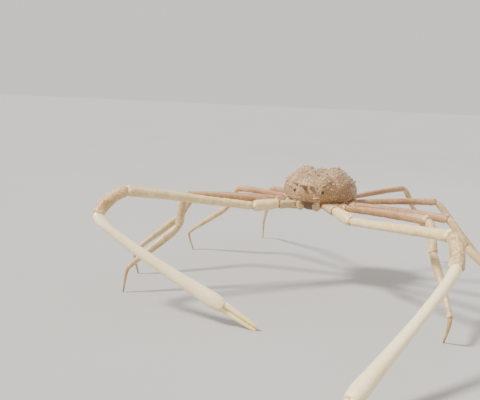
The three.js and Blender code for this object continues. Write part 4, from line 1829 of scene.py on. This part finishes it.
# Legs by pair: hip, then lengths of the pieces and greatest thickness
LEG_SIZES: dict[int, tuple[tuple[float, float, float], float, float, float, float, float, float]] = {
    2: ((92, 78, -54), 80, 400, 130, 265, 110, 37),
    3: ((103, 22, -54), 80, 385, 130, 255, 110, 36),
    4: ((98, -40, -50), 75, 345, 120, 250, 100, 31),
    5: ((74, -104, -48), 70, 328, 118, 252, 104, 27),
}
LEG_STANCES: dict[tuple[int, Side], LegStance] = {
    (2, Side.RIGHT): LegStance(49, 8, 5, 49, -74, -78),
    (2, Side.LEFT): LegStance(61, 8, 2.5, 26, -51, -108),
    (3, Side.RIGHT): LegStance(84, 7, -2.5, 37, -47, -97),
    (3, Side.LEFT): LegStance(85, 8, -2, 71, -48, -70),
    (4, Side.RIGHT): LegStance(117, 3, -2, 87, -59, -104),
    (4, Side.LEFT): LegStance(110, 7, 2, 98, -48, -86),
    (5, Side.RIGHT): LegStance(136, 0, -3, 154, -43, -80),
    (5, Side.LEFT): LegStance(142, 8, 4.5, 140, -53, -72),
}
CLAW_STANCES: dict[Side, ClawStance] = {
    Side.RIGHT: ClawStance(47, -3, 8, 24, -31, -91, 0),
    Side.LEFT: ClawStance(48.5, -10, 5.8, 14, -26.5, -22.5, -60),
}
COXA_SINK = 34.0  # how far inside the underside each coxa starts


class LampKind(Enum):
    """Kinds of studio light: one from far away, and a square one close by."""

    SUN = "SUN"
    AREA = "AREA"


@dataclass(frozen=True)
class Lamp:
    """One soft light, whose spread is in degrees for a sun and in metres for a square."""

    name: str
    kind: LampKind
    place: tuple[float, float, float]
    power: float
    spread: float
    color: tuple[float, float, float]
    aim: tuple[float, float, float] = (0, 0, 0.3)

    def build(self) -> None:
        """Hangs the light and turns it to what it lights."""
        made = bpy.data.lights.new(self.name, self.kind.value)
        made.energy = self.power
        made.color = self.color
        if self.kind is LampKind.SUN:
            made.angle = np.radians(self.spread)
        else:
            made.size = self.spread
        lamp = bpy.data.objects.new(self.name, made)
        lamp.location = self.place
        way = Vector(self.aim) - Vector(self.place)
        lamp.rotation_euler = way.to_track_quat("-Z", "Y").to_euler()
        bpy.context.scene.collection.objects.link(lamp)


@dataclass
class Studio:
    """Pale floor, soft lights and the camera at the photo's viewing angle."""

    shift: Array
    camera_place: tuple[float, float, float] = (0.736, -2.794, 0.845)
    yaw: float = 21.6
    pitch: float = 9.7
    roll: float = 2.0
    focal_px: float = 650.0
    image_width: int = 480
    sensor: float = 36.0
    floor_size: float = 30.0
    floor_tones: tuple[int, int] = (0xA9A8A5, 0xB1AFAC)
    sky_tone: int = 0xE2E0DC
    sky_strength: float = 1.2
    lamps: tuple[Lamp, ...] = (
        Lamp("key", LampKind.SUN, (-2.4, -1.6, 3.4), 6.4, 10.0, (1.0, 0.97, 0.92), aim=(0, 0, 0)),
        Lamp("fill", LampKind.AREA, (3.2, -2.4, 2.2), 30.0, 2.6, (0.93, 0.96, 1.0)),
        Lamp("rim", LampKind.AREA, (0.6, 3.2, 3.0), 30.0, 2.4, (1.0, 0.98, 0.95)),
    )

    def build(self) -> None:
        """Makes the floor, the sky, the lights and the camera."""
        self.floor()
        self.sky()
        for lamp in self.lamps:
            lamp.build()
        self.camera()

    def floor(self) -> None:
        """A wide plain floor with very faint unevenness of tone."""
        square = ((-1, -1), (1, -1), (1, 1), (-1, 1))
        corners = [(x * self.floor_size, y * self.floor_size, 0.0) for x, y in square]
        made = bpy.data.meshes.new("floor")
        made.from_pydata(corners, [], [(0, 1, 2, 3)])
        paint = MaterialWiring("floor_paint")
        first, second = (tone(code) for code in self.floor_tones)
        color = paint.mixed(paint.noise(paint.spot, 0.8, 3.0), first, second)
        made.materials.append(paint.finished({"Base Color": color, "Roughness": 0.7}))
        floor = bpy.data.objects.new("floor", made)
        bpy.context.scene.collection.objects.link(floor)

    def sky(self) -> None:
        """An even pale surround."""
        world = bpy.data.worlds.new("surround")
        world.use_nodes = True
        background = world.node_tree.nodes["Background"]
        background.inputs["Color"].default_value = tone(self.sky_tone)
        background.inputs["Strength"].default_value = self.sky_strength
        bpy.context.scene.world = world

    def camera(self) -> None:
        """Sets the camera where the photo was taken from."""
        yaw, pitch, roll = (np.radians(a) for a in (self.yaw, self.pitch, self.roll))
        level = np.array([-np.sin(yaw), np.cos(yaw), 0])
        ahead = level * np.cos(pitch) - UP * np.sin(pitch)
        right = np.array([np.cos(yaw), np.sin(yaw), 0])
        up = np.cross(right, ahead)
        across = np.cos(roll) * right + np.sin(roll) * up
        upward = -np.sin(roll) * right + np.cos(roll) * up
        made = bpy.data.cameras.new("camera")
        made.sensor_width = self.sensor
        made.lens = self.focal_px / self.image_width * self.sensor
        camera = bpy.data.objects.new("camera", made)
        place = np.array(self.camera_place) + self.shift * MM
        turned = Matrix((across, upward, -ahead)).transposed().to_4x4()
        camera.matrix_world = Matrix.Translation(Vector(place)) @ turned
        bpy.context.scene.collection.objects.link(camera)
        bpy.context.scene.camera = camera


def body_shift() -> Array:
    """How far the crab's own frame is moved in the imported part, in millimetres."""
    low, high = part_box("carapace")
    return np.array([(low.x + high.x) / 2 / MM, high.y / MM - CARAPACE_LENGTH / 2, 0.0])


def main() -> None:
    """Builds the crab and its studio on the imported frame."""
    logging.basicConfig(level=logging.INFO, format="%(name)s %(message)s")
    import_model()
    shift = body_shift()
    trees = (mottle_group(), wear_group(), dust_group(), relief_group())
    groups = {tree.name: tree for tree in trees}
    shop = Workshop(shift, {region: finish.material(groups) for region, finish in FINISHES.items()})
    shape = Carapace()
    legs = [
        WalkingLeg(pair, side, *sizes, LEG_STANCES[(pair, side)])
        for pair, sizes in LEG_SIZES.items() for side in Side
    ]
    claws = [Claw(side, CLAW_STANCES[side]) for side in Side]
    for limb in (*claws, *legs):
        limb.build(shop)
    coxae = [limb.limb().coxa(COXA_SINK) for limb in (*claws, *legs)]
    shape.build(shop)
    Underside(shape, coxae).build(shop)
    for side in Side:
        Head(side).build(shop)
    Studio(shift).build()
    log.info("whole crab: %d faces", shop.count)


if __name__ == "__main__":
    main()
